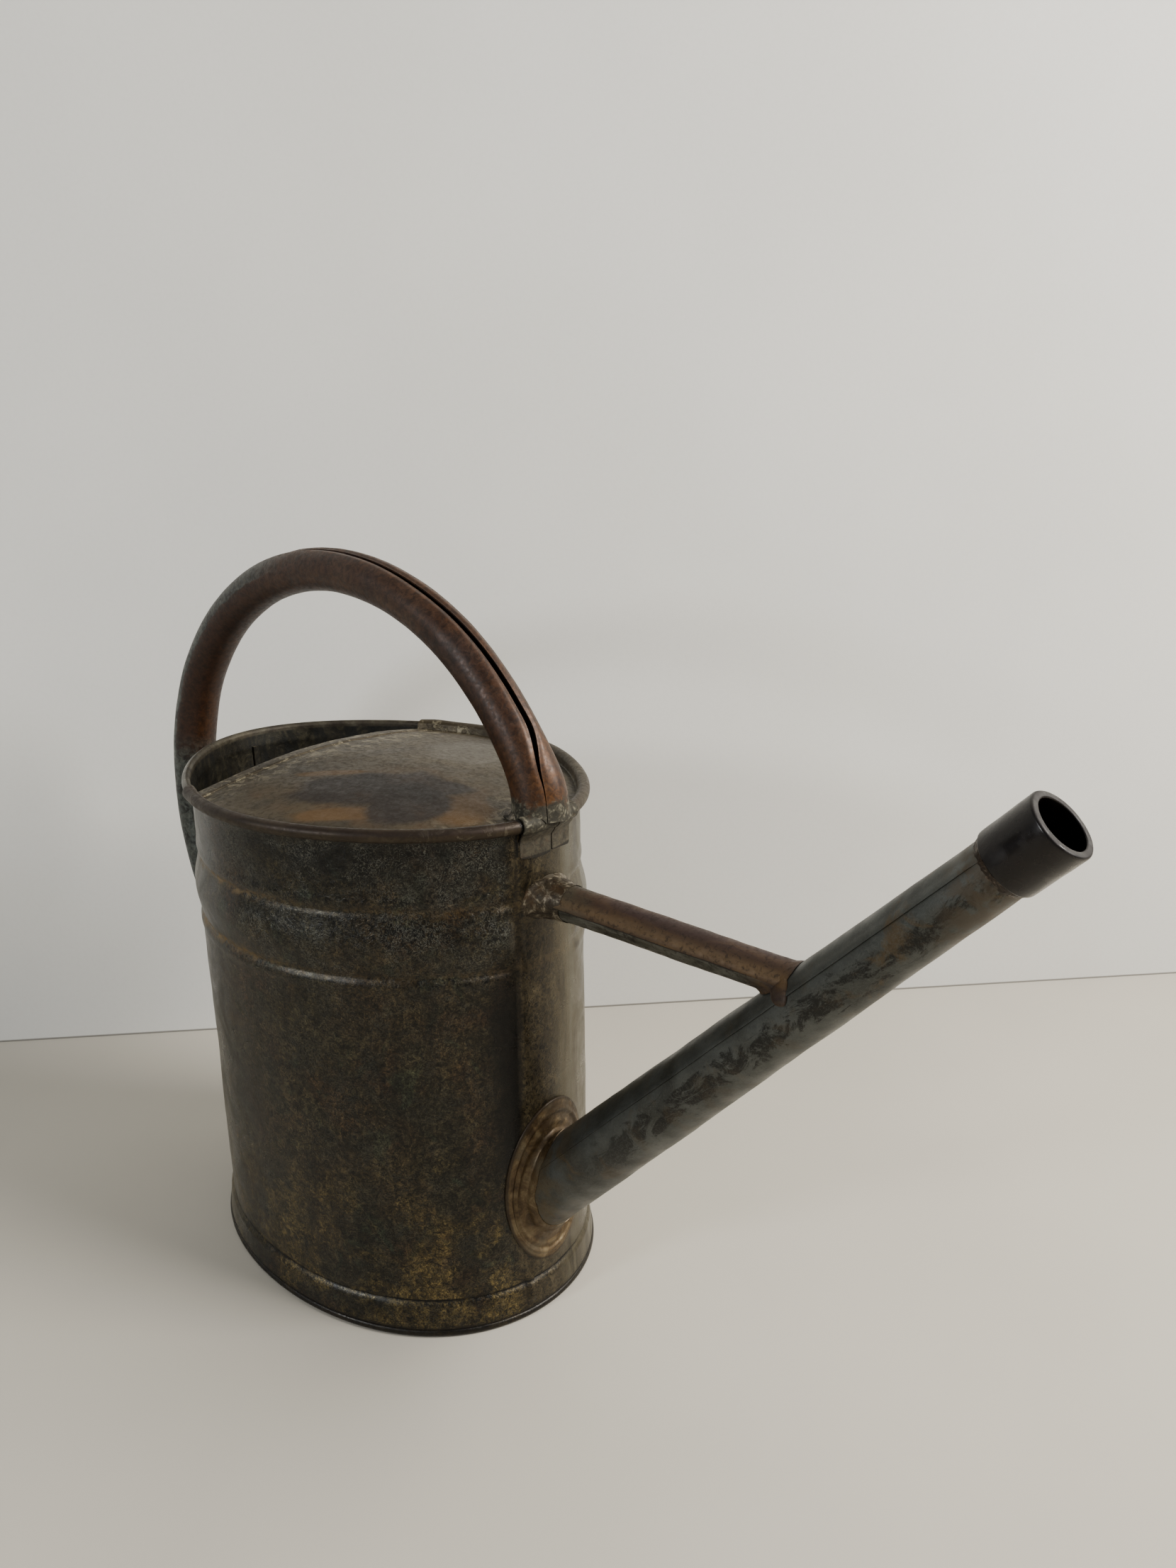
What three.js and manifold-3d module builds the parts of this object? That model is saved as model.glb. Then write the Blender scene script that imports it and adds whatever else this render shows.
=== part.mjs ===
// An oval sheet-steel watering can with a half cover, a hoop handle and a braced spout.
// Millimetres, +Z up, +X towards the spout. The can is drawn about the middle of its tank's
// base, and the last lines move it so that its box stands centred on the origin.
import * as THREE from 'three';
import { mergeVertices } from 'three/addons/utils/BufferGeometryUtils.js';
import Module from 'manifold-3d';

const wasm = await Module();
wasm.setup();

const { degToRad, lerp, smoothstep } = THREE.MathUtils;

// Driving dimensions, in millimetres.
const rimHeight = 300;
const sheet = 0.8;
const gap = 0.35;
// How far a facet of the wall can lie inside the true oval.
const facetSlack = 0.45;

// The tank's oval at the ground and at the rim. pinch pulls the four shoulders in or out.
const baseOval = { halfLength: 128, halfWidth: 96.8, pinch: -0.017, shift: 0 };
const rimOval = { halfLength: 131.2, halfWidth: 105, pinch: 0.043, shift: -2.7 };

// Heights of the pressed lines round the wall, and how far the wall stands out there.
const baseLevel = 20;
const lowerCrease = 219;
const upperCrease = 255;
const beadDepth = 2.6;
const upperWallStep = -1.2;
const footFlare = 2.9;
const footShoulder = 1.7;

// Curled edges: radius to the outside of the sheet, and where the curl's middle sits.
const rimCurl = { radius: 2.4, offset: 0.9, height: 297 };
const facetAngle = 30;
const footCurl = { radius: 2.6, offset: 1.3, height: 2.6 * Math.cos(degToRad(facetAngle / 2)) };

// Seams of the two wall sheets, in degrees round the tank from the spout.
const frontSeamAngle = -9;
const rearSeamAngle = 180;
const stepsPerSheet = 18;
const seamGap = 0.4;
const seamWidth = 8;
const seamThickness = 1.2;
const seamFoot = 24;
const frontSeamTop = 288;
const rearSeamTop = 291;

// The tank's floor plate, measured inward from the oval and up from the ground.
const plateEdge = -2;
const plateCentre = -90;
const plateBend = 1.2;
const plateSkirtFoot = 12;
const solderReach = 3.4;

// The half cover: its straight edge crosses the tank a little out of square.
const deckEdgeX = -60.4;
const deckSkew = degToRad(4.8);
const deckLevel = 293.9;
const deckRise = 11;
const deckCorner = -3.4;
const deckReach = 114;
const hemWidth = 10;
const hemThickness = 2.6;

// The handle is a sheet rolled into a tube with an open slot along its outside.
const handleRadius = 13.1;
const handleSheet = 0.9;
const handleSlot = 2.8;
const tabHalfWidth = 18.5;
const tabFoot = 282;
const tabStartX = 109;
const tabSlit = { startX: 124, y: 2, width: 0.8 };

// The spout runs up from the tank's front wall.
const spoutAngle = Math.atan(1.0832);
const spoutFoot = new THREE.Vector3(128, 0, 77.3);
const spoutFootRadius = 20.9;
const spoutTaper = 0.0218;
const spoutRoot = -40;
const ferruleStart = 345.8;
const ferruleEnd = 373.3;
const ferruleRadius = 15.2;
const ferruleBore = 11.7;
const ferruleLap = 10;
const outletRadius = 14.5;
const collar = { halfWidth: 31.3, halfHeight: 51.1, height: 81.3, thickness: 0.9 };

// The brace runs level from the tank's front to the spout.
const brace = { height: 254, tankRadius: 10, spoutRadius: 8.65, endX: 284 };
const braceStartX = 100;
const braceFoot = { halfWidth: 18.8, halfHeight: 13, thickness: 2.4 };

// How far the solder fillets stand out from the pieces they join.
const spoutFillet = 3.2;
const braceFillet = 2.4;
const handleFillet = 2.4;
const handleFootFillet = 3;
const ferruleFilletLength = 3.5;

// Solids used only for cutting: how deep they reach into the tank, how far they run past
// what they cut, and a height above the tank's bead but under its rim.
const cutterDepth = -45;
const deckCutterDepth = -60;
const overrun = 60;
const beyond = 400;
const shoulderHeight = 270;
const tankBlankTop = 290;
const frontCutterX = 112;

const zinc = { color: 0x4d4a41, roughness: 0.55, metalness: 0.7 };
const rust = { color: 0x5a3a2a, roughness: 0.7, metalness: 0.4 };
const solder = { color: 0x8b8a84, roughness: 0.6, metalness: 0.7 };
const darkSteel = { color: 0x2b211e, roughness: 0.45, metalness: 0.6 };

// Solids: geometries become manifolds to be cut and joined, and go back for the meshes.
function toSolid(geometry) {
  geometry.deleteAttribute('normal');
  geometry.deleteAttribute('uv');
  const merged = mergeVertices(geometry, 1e-4);
  const index = merged.index.array;
  const triangles = [];
  for (let i = 0; i < index.length; i += 3) {
    const [a, b, c] = [index[i], index[i + 1], index[i + 2]];
    if (a !== b && b !== c && c !== a) triangles.push(a, b, c);
  }
  const vertProperties = new Float32Array(merged.attributes.position.array);
  if (signedVolume(vertProperties, triangles) < 0) triangles.reverse();
  const mesh = new wasm.Mesh({ numProp: 3, vertProperties, triVerts: new Uint32Array(triangles) });
  return new wasm.Manifold(mesh);
}

function signedVolume(positions, triangles) {
  const corner = (i) => new THREE.Vector3().fromArray(positions, 3 * triangles[i]);
  let volume = 0;
  for (let i = 0; i < triangles.length; i += 3) {
    volume += corner(i).dot(corner(i + 1).cross(corner(i + 2)));
  }
  return volume;
}

function toGeometry(solid) {
  const mesh = solid.getMesh();
  const geometry = new THREE.BufferGeometry();
  geometry.setAttribute('position', new THREE.BufferAttribute(new Float32Array(mesh.vertProperties), 3));
  geometry.setIndex(new THREE.BufferAttribute(new Uint32Array(mesh.triVerts), 1));
  geometry.computeVertexNormals();
  return geometry;
}

function block(low, high, turn = 0, pivot = new THREE.Vector3()) {
  const size = new THREE.Vector3().subVectors(high, low);
  const geometry = new THREE.BoxGeometry(size.x, size.y, size.z);
  geometry.translate((low.x + high.x) / 2, (low.y + high.y) / 2, (low.z + high.z) / 2);
  geometry.rotateZ(turn);
  geometry.translate(pivot.x, pivot.y, pivot.z);
  return toSolid(geometry);
}

// The tank's outline at one height, and its outward direction.
function outline(angle, z) {
  const t = z / rimHeight;
  const pinch = 1 - lerp(baseOval.pinch, rimOval.pinch, t) * Math.sin(2 * angle) ** 2;
  const x = lerp(baseOval.halfLength, rimOval.halfLength, t) * Math.cos(angle) * pinch;
  const y = lerp(baseOval.halfWidth, rimOval.halfWidth, t) * Math.sin(angle) * pinch;
  return new THREE.Vector2(x + lerp(baseOval.shift, rimOval.shift, t), y);
}

function outward(angle, z) {
  const nudge = 1e-3;
  const along = outline(angle + nudge, z).sub(outline(angle - nudge, z)).normalize();
  return new THREE.Vector2(along.y, -along.x);
}

// A point at a distance outside the outline. This places everything that follows the wall.
function onWall(angle, offset, z) {
  const p = outline(angle, z).addScaledVector(outward(angle, z), offset);
  return new THREE.Vector3(p.x, p.y, z);
}

// A point of the deck: beyond its corner it shrinks towards the middle of the rim's oval.
function onDeck(angle, offset, z) {
  if (offset >= deckCorner) return onWall(angle, offset, z);
  const scale = Math.max(0, 1 + (offset - deckCorner) / deckReach);
  const middle = new THREE.Vector3(rimOval.shift, 0, z);
  return middle.lerp(onWall(angle, deckCorner, z), scale);
}

// Where the sheets' facets turn, in radians. Both sheets start at the front seam.
function sheetAngles(side) {
  const sweep = side > 0 ? rearSeamAngle - frontSeamAngle : rearSeamAngle + frontSeamAngle;
  const trim = seamGap / 2 / rimOval.halfLength;
  const angles = [];
  for (let i = 0; i <= stepsPerSheet; i += 1) {
    const whole = degToRad(frontSeamAngle + side * sweep * (i / stepsPerSheet));
    const inset = i === 0 ? trim : i === stepsPerSheet ? -trim : 0;
    angles.push(whole + side * inset);
  }
  return angles;
}

const nearAngles = sheetAngles(-1);
const farAngles = sheetAngles(1);
const loopAngles = [...nearAngles.slice().reverse(), ...farAngles];
const frontAngles = loopAngles.filter((angle) => Math.abs(angle) < degToRad(32));

// Gives a path of offset and height pairs a thickness, as a closed outline.
function thicken(path, thickness) {
  const left = [];
  const right = [];
  path.forEach((point, i) => {
    const before = path[Math.max(i - 1, 0)];
    const after = path[Math.min(i + 1, path.length - 1)];
    const into = new THREE.Vector2().subVectors(point, before).normalize();
    const out = new THREE.Vector2().subVectors(after, point).normalize();
    const mean = new THREE.Vector2().addVectors(into, out).normalize();
    const bend = i === 0 || i === path.length - 1 ? 1 : Math.max(mean.dot(out), 0.5);
    const side = new THREE.Vector2(-mean.y, mean.x).multiplyScalar(thickness / 2 / bend);
    left.push(new THREE.Vector2().addVectors(point, side));
    right.push(new THREE.Vector2().subVectors(point, side));
  });
  return [...left, ...right.reverse()];
}

function arc(curl, radius, fromDegrees, toDegrees) {
  const count = Math.round(Math.abs(toDegrees - fromDegrees) / facetAngle);
  return Array.from({ length: count + 1 }, (_, i) => {
    const angle = degToRad(lerp(fromDegrees, toDegrees, i / count));
    return new THREE.Vector2(
      curl.offset + radius * Math.cos(angle),
      curl.height + radius * Math.sin(angle),
    );
  });
}

// Sweeps a closed outline round the tank. sectionAt gives the outline at one angle.
function sweep(sectionAt, angles, place = onWall, closed = false) {
  const sections = angles.map((angle) => {
    const section = sectionAt(angle).slice();
    return THREE.ShapeUtils.isClockWise(section) ? section.reverse() : section;
  });
  const positions = sections.flatMap((section, i) => {
    return section.flatMap((p) => place(angles[i], p.x, p.y).toArray());
  });
  const count = sections[0].length;
  const faces = [];
  const rings = closed ? angles.length : angles.length - 1;
  for (let i = 0; i < rings; i += 1) {
    const here = i * count;
    const next = ((i + 1) % angles.length) * count;
    for (let j = 0; j < count; j += 1) {
      const k = (j + 1) % count;
      faces.push(here + j, next + k, here + k);
      faces.push(here + j, next + j, next + k);
    }
  }
  if (!closed) {
    const last = rings * count;
    const firstCap = THREE.ShapeUtils.triangulateShape(sections[0], []).flat();
    const lastCap = THREE.ShapeUtils.triangulateShape(sections[rings], []).flat().reverse();
    faces.push(...firstCap, ...lastCap.map((v) => last + v));
  }
  const geometry = new THREE.BufferGeometry();
  geometry.setAttribute('position', new THREE.Float32BufferAttribute(positions, 3));
  geometry.setIndex(faces);
  return toSolid(geometry);
}

// How much the pressed lines show at an angle: they die out on either side of the spout.
function pressing(angle) {
  const degrees = Math.abs(THREE.MathUtils.radToDeg(angle));
  return smoothstep(degrees, 9, 17);
}

// The middle of the wall's sheet from the foot's curl to the rim's.
function wallPath(angle, from = 0, to = rimHeight) {
  const press = pressing(angle);
  const upper = upperWallStep;
  const middle = (lowerCrease + upperCrease) / 2;
  const half = (upperCrease - lowerCrease) / 2;
  const wall = [
    [6.2, footFlare],
    [baseLevel - 2, footShoulder],
    [baseLevel + 1.5, -0.2],
    [baseLevel + 5, 0],
    [lowerCrease - 5, 0.7 * press],
    [lowerCrease, lerp(0, -0.9, press)],
    [middle - half * 0.6, lerp(0.3 * upper, 0.62 * beadDepth, press)],
    [middle, lerp(0.5 * upper, beadDepth - 0.9, press)],
    [middle + half * 0.6, lerp(0.7 * upper, 0.55 * beadDepth, press)],
    [upperCrease, lerp(upper, upper - 0.6, press)],
    [upperCrease + 6, upper + 0.5 * press],
    [rimHeight - 9, upper],
  ];
  return wall
    .filter(([z]) => z >= from && z <= to)
    .map(([z, face]) => new THREE.Vector2(face - sheet / 2, z));
}

function wallSection(angle) {
  const foot = arc(footCurl, footCurl.radius - sheet / 2, 105, 405);
  const rim = arc(rimCurl, rimCurl.radius - sheet / 2, 180, -120);
  return thicken([...foot, ...wallPath(angle), ...rim], sheet);
}

// A wire lying inside a curled edge, with every other facet of the curl.
function curlWire(curl) {
  const radius = curl.radius - sheet - gap;
  const ring = arc(curl, radius, 0, 360).filter((_, i) => i % 2 === 0);
  ring.pop();
  return sweep(() => ring, loopAngles, onWall, true);
}

// Solids that fill the tank or the covered rim, used to cut neighbours to fit them.
function tankBlank(clearance, angles = loopAngles) {
  const low = seamFoot;
  const high = tankBlankTop;
  const section = (angle) => {
    const face = wallPath(angle, low, high).map((p) => new THREE.Vector2(p.x + sheet / 2 + clearance, p.y));
    face[0].y = low;
    face[face.length - 1].y = high;
    return [new THREE.Vector2(cutterDepth, low), ...face, new THREE.Vector2(cutterDepth, high)];
  };
  return sweep(section, angles, onWall, angles === loopAngles);
}

function deckHeight(offset) {
  const scale = Math.min(1, 1 + (offset - deckCorner) / deckReach);
  return deckLevel + deckRise * (1 - scale ** 2);
}

function rimBlank(clearance) {
  const reach = rimCurl.radius + gap + sheet + clearance;
  const lift = sheet / 2 + clearance;
  const inner = [1, 0.75, 0.5, 0.25].map((share) => share * deckCutterDepth).concat(deckCorner - 1)
    .map((u) => new THREE.Vector2(u, deckHeight(u) + lift));
  const over = arc(rimCurl, reach, 150, -60);
  const face = upperWallStep + clearance;
  const tail = [new THREE.Vector2(face, rimCurl.height - 7), new THREE.Vector2(face, shoulderHeight)];
  const section = [...inner, ...over, ...tail, new THREE.Vector2(deckCutterDepth, shoulderHeight)];
  return sweep(() => section, frontAngles, onDeck);
}

// The wall's two sheets. The outlet behind the spout is cut through the far one.
function wallSheet(angles) {
  return sweep(wallSection, angles);
}

function seamFold(seamAngle, low, high) {
  const half = seamWidth / 2 / rimOval.halfLength;
  const middle = degToRad(seamAngle);
  const inset = sheet / 2 + gap + facetSlack + seamThickness / 2;
  const section = (angle) => {
    const path = wallPath(angle, low, high).map((p) => new THREE.Vector2(p.x - inset, p.y));
    return thicken(path, seamThickness);
  };
  return sweep(section, [middle - half, middle, middle + half]);
}

// The tank's floor: a flat plate whose edge is turned down inside the foot.
function basePlate() {
  const top = baseLevel - sheet;
  const under = top - sheet;
  const inner = plateEdge - sheet;
  const section = [
    new THREE.Vector2(plateEdge, plateSkirtFoot),
    new THREE.Vector2(plateEdge, top - plateBend),
    new THREE.Vector2(plateEdge - plateBend, top),
    new THREE.Vector2(plateCentre, top),
    new THREE.Vector2(plateCentre, under),
    new THREE.Vector2(inner - plateBend, under),
    new THREE.Vector2(inner, under - plateBend),
    new THREE.Vector2(inner, plateSkirtFoot),
  ];
  const place = (angle, offset, z) => {
    return offset > plateCentre ? onWall(angle, offset, z) : new THREE.Vector3(0, 0, z);
  };
  return sweep(() => section, loopAngles, place, true);
}

function baseSolder() {
  const inside = -2 * sheet - gap;
  const floor = baseLevel - sheet + gap;
  const section = [
    new THREE.Vector2(inside - solderReach, floor),
    new THREE.Vector2(inside, floor),
    new THREE.Vector2(inside, floor + solderReach),
  ];
  return sweep(() => section, loopAngles, onWall, true);
}

// The half cover: a shallow dome that turns up inside the rim and folds down over its curl.
function deckPath() {
  const wrap = arc(rimCurl, rimCurl.radius + gap + sheet / 2, -75, 165);
  const turn = [new THREE.Vector2(-2.3, 295.4), new THREE.Vector2(deckCorner, deckLevel)];
  const dome = [-10, -35, -70].map((u) => new THREE.Vector2(u, deckHeight(u)));
  return [...wrap, ...turn, ...dome];
}

function deckShell(path, thickness) {
  const section = thicken(path, thickness);
  const half = path.length;
  const centreOffset = deckCorner - deckReach;
  const top = deckHeight(centreOffset);
  const centre = [1, -1].map((side) => new THREE.Vector2(centreOffset, top + side * thickness / 2));
  const leftIsTop = section[half - 1].y > section[half].y;
  if (!leftIsTop) centre.reverse();
  const shell = [...section.slice(0, half), ...centre, ...section.slice(half)];
  return sweep(() => shell, loopAngles, onDeck, true);
}

function deckStrip(from, to) {
  const low = new THREE.Vector3(from, -beyond, shoulderHeight);
  const high = new THREE.Vector3(to, beyond, beyond);
  return block(low, high, deckSkew, new THREE.Vector3(deckEdgeX, 0, 0));
}

function deck() {
  const cover = deckShell(deckPath(), sheet).subtract(deckStrip(-beyond, 0));
  const plate = deckPath().filter((p) => p.x < deckCorner - 1);
  const hem = deckShell(plate, hemThickness).intersect(deckStrip(0, hemWidth));
  return cover.add(hem);
}

// The handle's middle line, from the front rim over the top and down to the rear wall.
const handlePoints = [
  [121, 288], [119.2, 313.9], [95.5, 351.6], [56.4, 385], [9.6, 404.5], [-45, 410],
  [-100, 398.6], [-149.2, 370.5], [-185.7, 329.8], [-205.2, 283.4], [-210.5, 239],
  [-204.8, 199.8], [-188, 162.6], [-158.6, 131.6], [-112, 111],
];
const handleLine = new THREE.CatmullRomCurve3(
  handlePoints.map(([x, z]) => new THREE.Vector3(x, 0, z)),
  false,
  'centripetal',
);
const handleSteps = 32;

function handleTube(radius, slot = 0) {
  const shape = new THREE.Shape();
  const inner = radius - handleSheet;
  if (slot === 0) {
    shape.absarc(0, 0, radius, 0, 2 * Math.PI, false);
  } else {
    const half = slot / 2 / radius;
    const start = handleOutside + half;
    const end = handleOutside + 2 * Math.PI - half;
    shape.absarc(0, 0, radius, start, end, false);
    shape.lineTo(inner * Math.cos(end), inner * Math.sin(end));
    shape.absarc(0, 0, inner, end, start, true);
    shape.lineTo(radius * Math.cos(start), radius * Math.sin(start));
  }
  const options = { steps: handleSteps, curveSegments: 6, extrudePath: handleLine, bevelEnabled: false };
  return toSolid(new THREE.ExtrudeGeometry(shape, options));
}

// The direction in the tube's own section that points away from the hand.
const handleFrames = handleLine.computeFrenetFrames(handleSteps, false);
const handleOutside = Math.sign(handleFrames.binormals[handleSteps / 2].z) * Math.PI / 2;

function handleTabs() {
  const strap = rimBlank(gap + handleSheet).subtract(rimBlank(gap));
  const lowCorner = new THREE.Vector3(tabStartX, -tabHalfWidth, tabFoot);
  const region = block(lowCorner, new THREE.Vector3(beyond, tabHalfWidth, beyond));
  const half = tabSlit.width / 2;
  const slitLow = new THREE.Vector3(tabSlit.startX, tabSlit.y - half, shoulderHeight);
  const slit = block(slitLow, new THREE.Vector3(beyond, tabSlit.y + half, beyond));
  return strap.intersect(region).subtract(slit);
}

function handle() {
  const tube = handleTube(handleRadius, handleSlot);
  const fitted = tube.subtract(rimBlank(gap)).subtract(tankBlank(gap));
  return fitted.add(handleTabs());
}

// A straight cone between two distances along the spout, or along the brace.
function cone(start, direction, from, to, radiusFrom, radiusTo, sides = 22) {
  const geometry = new THREE.CylinderGeometry(radiusTo, radiusFrom, to - from, sides);
  geometry.rotateX(Math.PI / 2);
  geometry.translate(0, 0, (from + to) / 2);
  const turn = new THREE.Quaternion().setFromUnitVectors(new THREE.Vector3(0, 0, 1), direction);
  geometry.applyQuaternion(turn);
  geometry.translate(start.x, start.y, start.z);
  return toSolid(geometry);
}

const spoutLine = new THREE.Vector3(Math.cos(spoutAngle), 0, Math.sin(spoutAngle));
const spoutRadius = (along) => spoutFootRadius - spoutTaper * along;

function spoutCone(extra, from, to) {
  return cone(spoutFoot, spoutLine, from, to, spoutRadius(from) + extra, spoutRadius(to) + extra);
}

function spout() {
  const end = ferruleStart + ferruleLap;
  const outer = spoutCone(0, spoutRoot, end);
  const inner = spoutCone(-sheet, -overrun, end + overrun);
  return outer.subtract(inner).subtract(tankBlank(gap, frontAngles));
}

function oval(centreHeight, halfWidth, halfHeight) {
  const shape = new THREE.Shape();
  shape.absellipse(0, 0, halfWidth, halfHeight, 0, 2 * Math.PI, false, 0);
  const options = { depth: overrun, curveSegments: 14, bevelEnabled: false };
  const geometry = new THREE.ExtrudeGeometry(shape, options);
  geometry.rotateX(Math.PI / 2);
  geometry.rotateZ(Math.PI / 2);
  geometry.translate(frontCutterX, 0, centreHeight);
  return toSolid(geometry);
}

function wallPad(inner, outer) {
  const lowCorner = new THREE.Vector3(frontCutterX, -beyond, 0);
  const front = block(lowCorner, new THREE.Vector3(beyond, beyond, beyond));
  return tankBlank(outer, frontAngles).subtract(tankBlank(inner, frontAngles)).intersect(front);
}

function spoutCollar() {
  const pad = wallPad(gap, gap + collar.thickness);
  const plate = pad.intersect(oval(collar.height, collar.halfWidth, collar.halfHeight));
  return plate.subtract(spoutCone(gap, -overrun, overrun));
}

function spoutSolder() {
  const start = 2 * gap + collar.thickness;
  const pad = wallPad(start, start + spoutFillet - gap);
  return pad.intersect(spoutCone(spoutFillet, -overrun, overrun)).subtract(spoutCone(gap, -beyond, beyond));
}

function ferrule() {
  const lap = ferruleStart + ferruleLap + gap;
  const socket = spoutRadius(ferruleStart) + gap;
  const round = 1.2;
  const mouthRound = round / 2;
  const profile = [
    [socket, ferruleStart],
    [ferruleRadius - round / 2, ferruleStart],
    [ferruleRadius, ferruleStart + round / 2],
    [ferruleRadius, ferruleEnd - round],
    [ferruleRadius - round * 0.3, ferruleEnd - round * 0.3],
    [ferruleRadius - round, ferruleEnd],
    [ferruleBore + mouthRound, ferruleEnd],
    [ferruleBore, ferruleEnd - mouthRound],
    [ferruleBore, lap],
    [socket, lap],
    [socket, ferruleStart],
  ].map(([radius, along]) => new THREE.Vector2(radius, along));
  const geometry = new THREE.LatheGeometry(profile, 22);
  geometry.rotateX(Math.PI / 2);
  const turn = new THREE.Quaternion().setFromUnitVectors(new THREE.Vector3(0, 0, 1), spoutLine);
  geometry.applyQuaternion(turn);
  geometry.translate(spoutFoot.x, spoutFoot.y, spoutFoot.z);
  return toSolid(geometry);
}

function ferruleSolder() {
  const end = ferruleStart - gap;
  const start = end - ferruleFilletLength;
  const lip = ferruleRadius - 2 * gap;
  const fillet = cone(spoutFoot, spoutLine, start, end, spoutRadius(start) + 2 * gap, lip);
  return fillet.subtract(spoutCone(gap, start - overrun, end + overrun));
}

const alongX = new THREE.Vector3(1, 0, 0);
const braceStart = new THREE.Vector3(braceStartX, 0, brace.height);
const braceLength = brace.endX - braceStart.x;

function braceCone(extra) {
  return cone(braceStart, alongX, 0, braceLength, brace.tankRadius + extra, brace.spoutRadius + extra, 16);
}

function braceTube() {
  const tube = braceCone(0).subtract(braceCone(-sheet));
  return tube.subtract(tankBlank(gap, frontAngles)).subtract(spoutCone(gap, 0, ferruleStart));
}

function braceFootSolder() {
  const pad = wallPad(gap, gap + braceFoot.thickness);
  const ears = oval(brace.height, braceFoot.halfWidth, braceFoot.halfHeight);
  return pad.intersect(ears).subtract(braceCone(gap));
}

function braceTipSolder() {
  const outer = spoutCone(gap + braceFillet, overrun, ferruleStart - overrun);
  const ring = outer.subtract(spoutCone(gap, 0, ferruleStart));
  return ring.intersect(braceCone(gap + braceFillet)).subtract(braceCone(gap));
}

function handleFrontSolder() {
  const ring = rimBlank(gap + handleFillet).subtract(rimBlank(gap));
  const round = handleTube(handleRadius + handleFillet).subtract(handleTube(handleRadius + gap));
  const behindTabs = new THREE.Vector3(tabStartX - gap, beyond, beyond);
  return ring.intersect(round).intersect(block(new THREE.Vector3(0, -beyond, shoulderHeight), behindTabs));
}

function handleRearSolder() {
  const band = tankBlank(gap + handleFootFillet).subtract(tankBlank(gap));
  const rear = block(new THREE.Vector3(-beyond, -beyond, 0), new THREE.Vector3(0, beyond, shoulderHeight));
  const ring = band.intersect(handleTube(handleRadius + handleFootFillet));
  return ring.subtract(handleTube(handleRadius + gap)).intersect(rear);
}

function wallFar() {
  const outlet = cone(spoutFoot, spoutLine, -overrun, overrun, outletRadius, outletRadius);
  return wallSheet(farAngles).subtract(outlet);
}

// Assembly: one mesh for each piece.
const can = new THREE.Group();

function addPiece(name, solid, finish) {
  const mesh = new THREE.Mesh(toGeometry(solid), new THREE.MeshStandardMaterial(finish));
  mesh.name = name;
  can.add(mesh);
}

addPiece('wall_near', wallSheet(nearAngles), zinc);
addPiece('wall_far', wallFar(), zinc);
addPiece('front_seam', seamFold(frontSeamAngle, seamFoot, frontSeamTop), zinc);
addPiece('rear_seam', seamFold(rearSeamAngle, seamFoot, rearSeamTop), zinc);
addPiece('rim_wire', curlWire(rimCurl), darkSteel);
addPiece('foot_wire', curlWire(footCurl), darkSteel);
addPiece('base_plate', basePlate(), zinc);
addPiece('base_solder', baseSolder(), solder);
addPiece('deck', deck(), zinc);
addPiece('handle', handle(), rust);
addPiece('handle_front_solder', handleFrontSolder(), solder);
addPiece('handle_rear_solder', handleRearSolder(), solder);
addPiece('spout_collar', spoutCollar(), zinc);
addPiece('spout', spout(), zinc);
addPiece('spout_solder', spoutSolder(), solder);
addPiece('ferrule', ferrule(), darkSteel);
addPiece('ferrule_solder', ferruleSolder(), solder);
addPiece('brace', braceTube(), rust);
addPiece('brace_foot_solder', braceFootSolder(), solder);
addPiece('brace_tip_solder', braceTipSolder(), solder);

// Stand the can's box centred over the origin.
const box = new THREE.Box3().setFromObject(can);
const middle = box.getCenter(new THREE.Vector3());
can.position.set(-middle.x, -middle.y, -box.min.z);
can.updateMatrixWorld(true);

export default can;
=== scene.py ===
"""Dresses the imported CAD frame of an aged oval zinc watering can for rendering.

Shapes are worked out in millimetres about the middle of the tank's base, with +X towards the
spout, and moved into the frame's metres when their meshes are made.
"""
import math
from functools import cached_property

import bmesh
import bpy
import numpy as np
from mathutils import Matrix, Vector, noise


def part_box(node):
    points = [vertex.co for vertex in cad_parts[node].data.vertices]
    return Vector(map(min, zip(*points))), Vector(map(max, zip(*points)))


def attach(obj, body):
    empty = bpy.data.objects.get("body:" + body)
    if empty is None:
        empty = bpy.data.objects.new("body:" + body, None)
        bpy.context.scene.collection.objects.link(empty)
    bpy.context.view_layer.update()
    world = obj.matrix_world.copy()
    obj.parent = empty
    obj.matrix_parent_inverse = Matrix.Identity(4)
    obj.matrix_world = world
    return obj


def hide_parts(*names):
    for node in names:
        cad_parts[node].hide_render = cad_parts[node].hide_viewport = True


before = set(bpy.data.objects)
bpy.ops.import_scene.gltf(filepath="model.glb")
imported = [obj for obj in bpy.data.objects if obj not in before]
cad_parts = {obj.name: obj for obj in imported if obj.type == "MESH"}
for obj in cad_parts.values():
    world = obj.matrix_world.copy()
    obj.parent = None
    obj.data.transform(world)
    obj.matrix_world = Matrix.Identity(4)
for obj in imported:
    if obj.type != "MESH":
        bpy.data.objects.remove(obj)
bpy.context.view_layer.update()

MM = 0.001
SHEET = 0.8


def corners(node):
    """The low and high corners of a CAD node, in millimetres."""
    low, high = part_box(node)
    return np.array(low) / MM, np.array(high) / MM


# ---------------------------------------------------------------- the tank's oval
RIM_HEIGHT = 300.0
RIM_CURL = {"radius": 2.4, "offset": 0.9, "height": 297.0}
FOOT_CURL = {"radius": 2.6, "offset": 1.3, "height": 2.5}
WIRE_SLACK = SHEET + 0.35
RIM_SHIFT = -2.7
BASE_PINCH = -0.017
RIM_PINCH = 0.043


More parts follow.
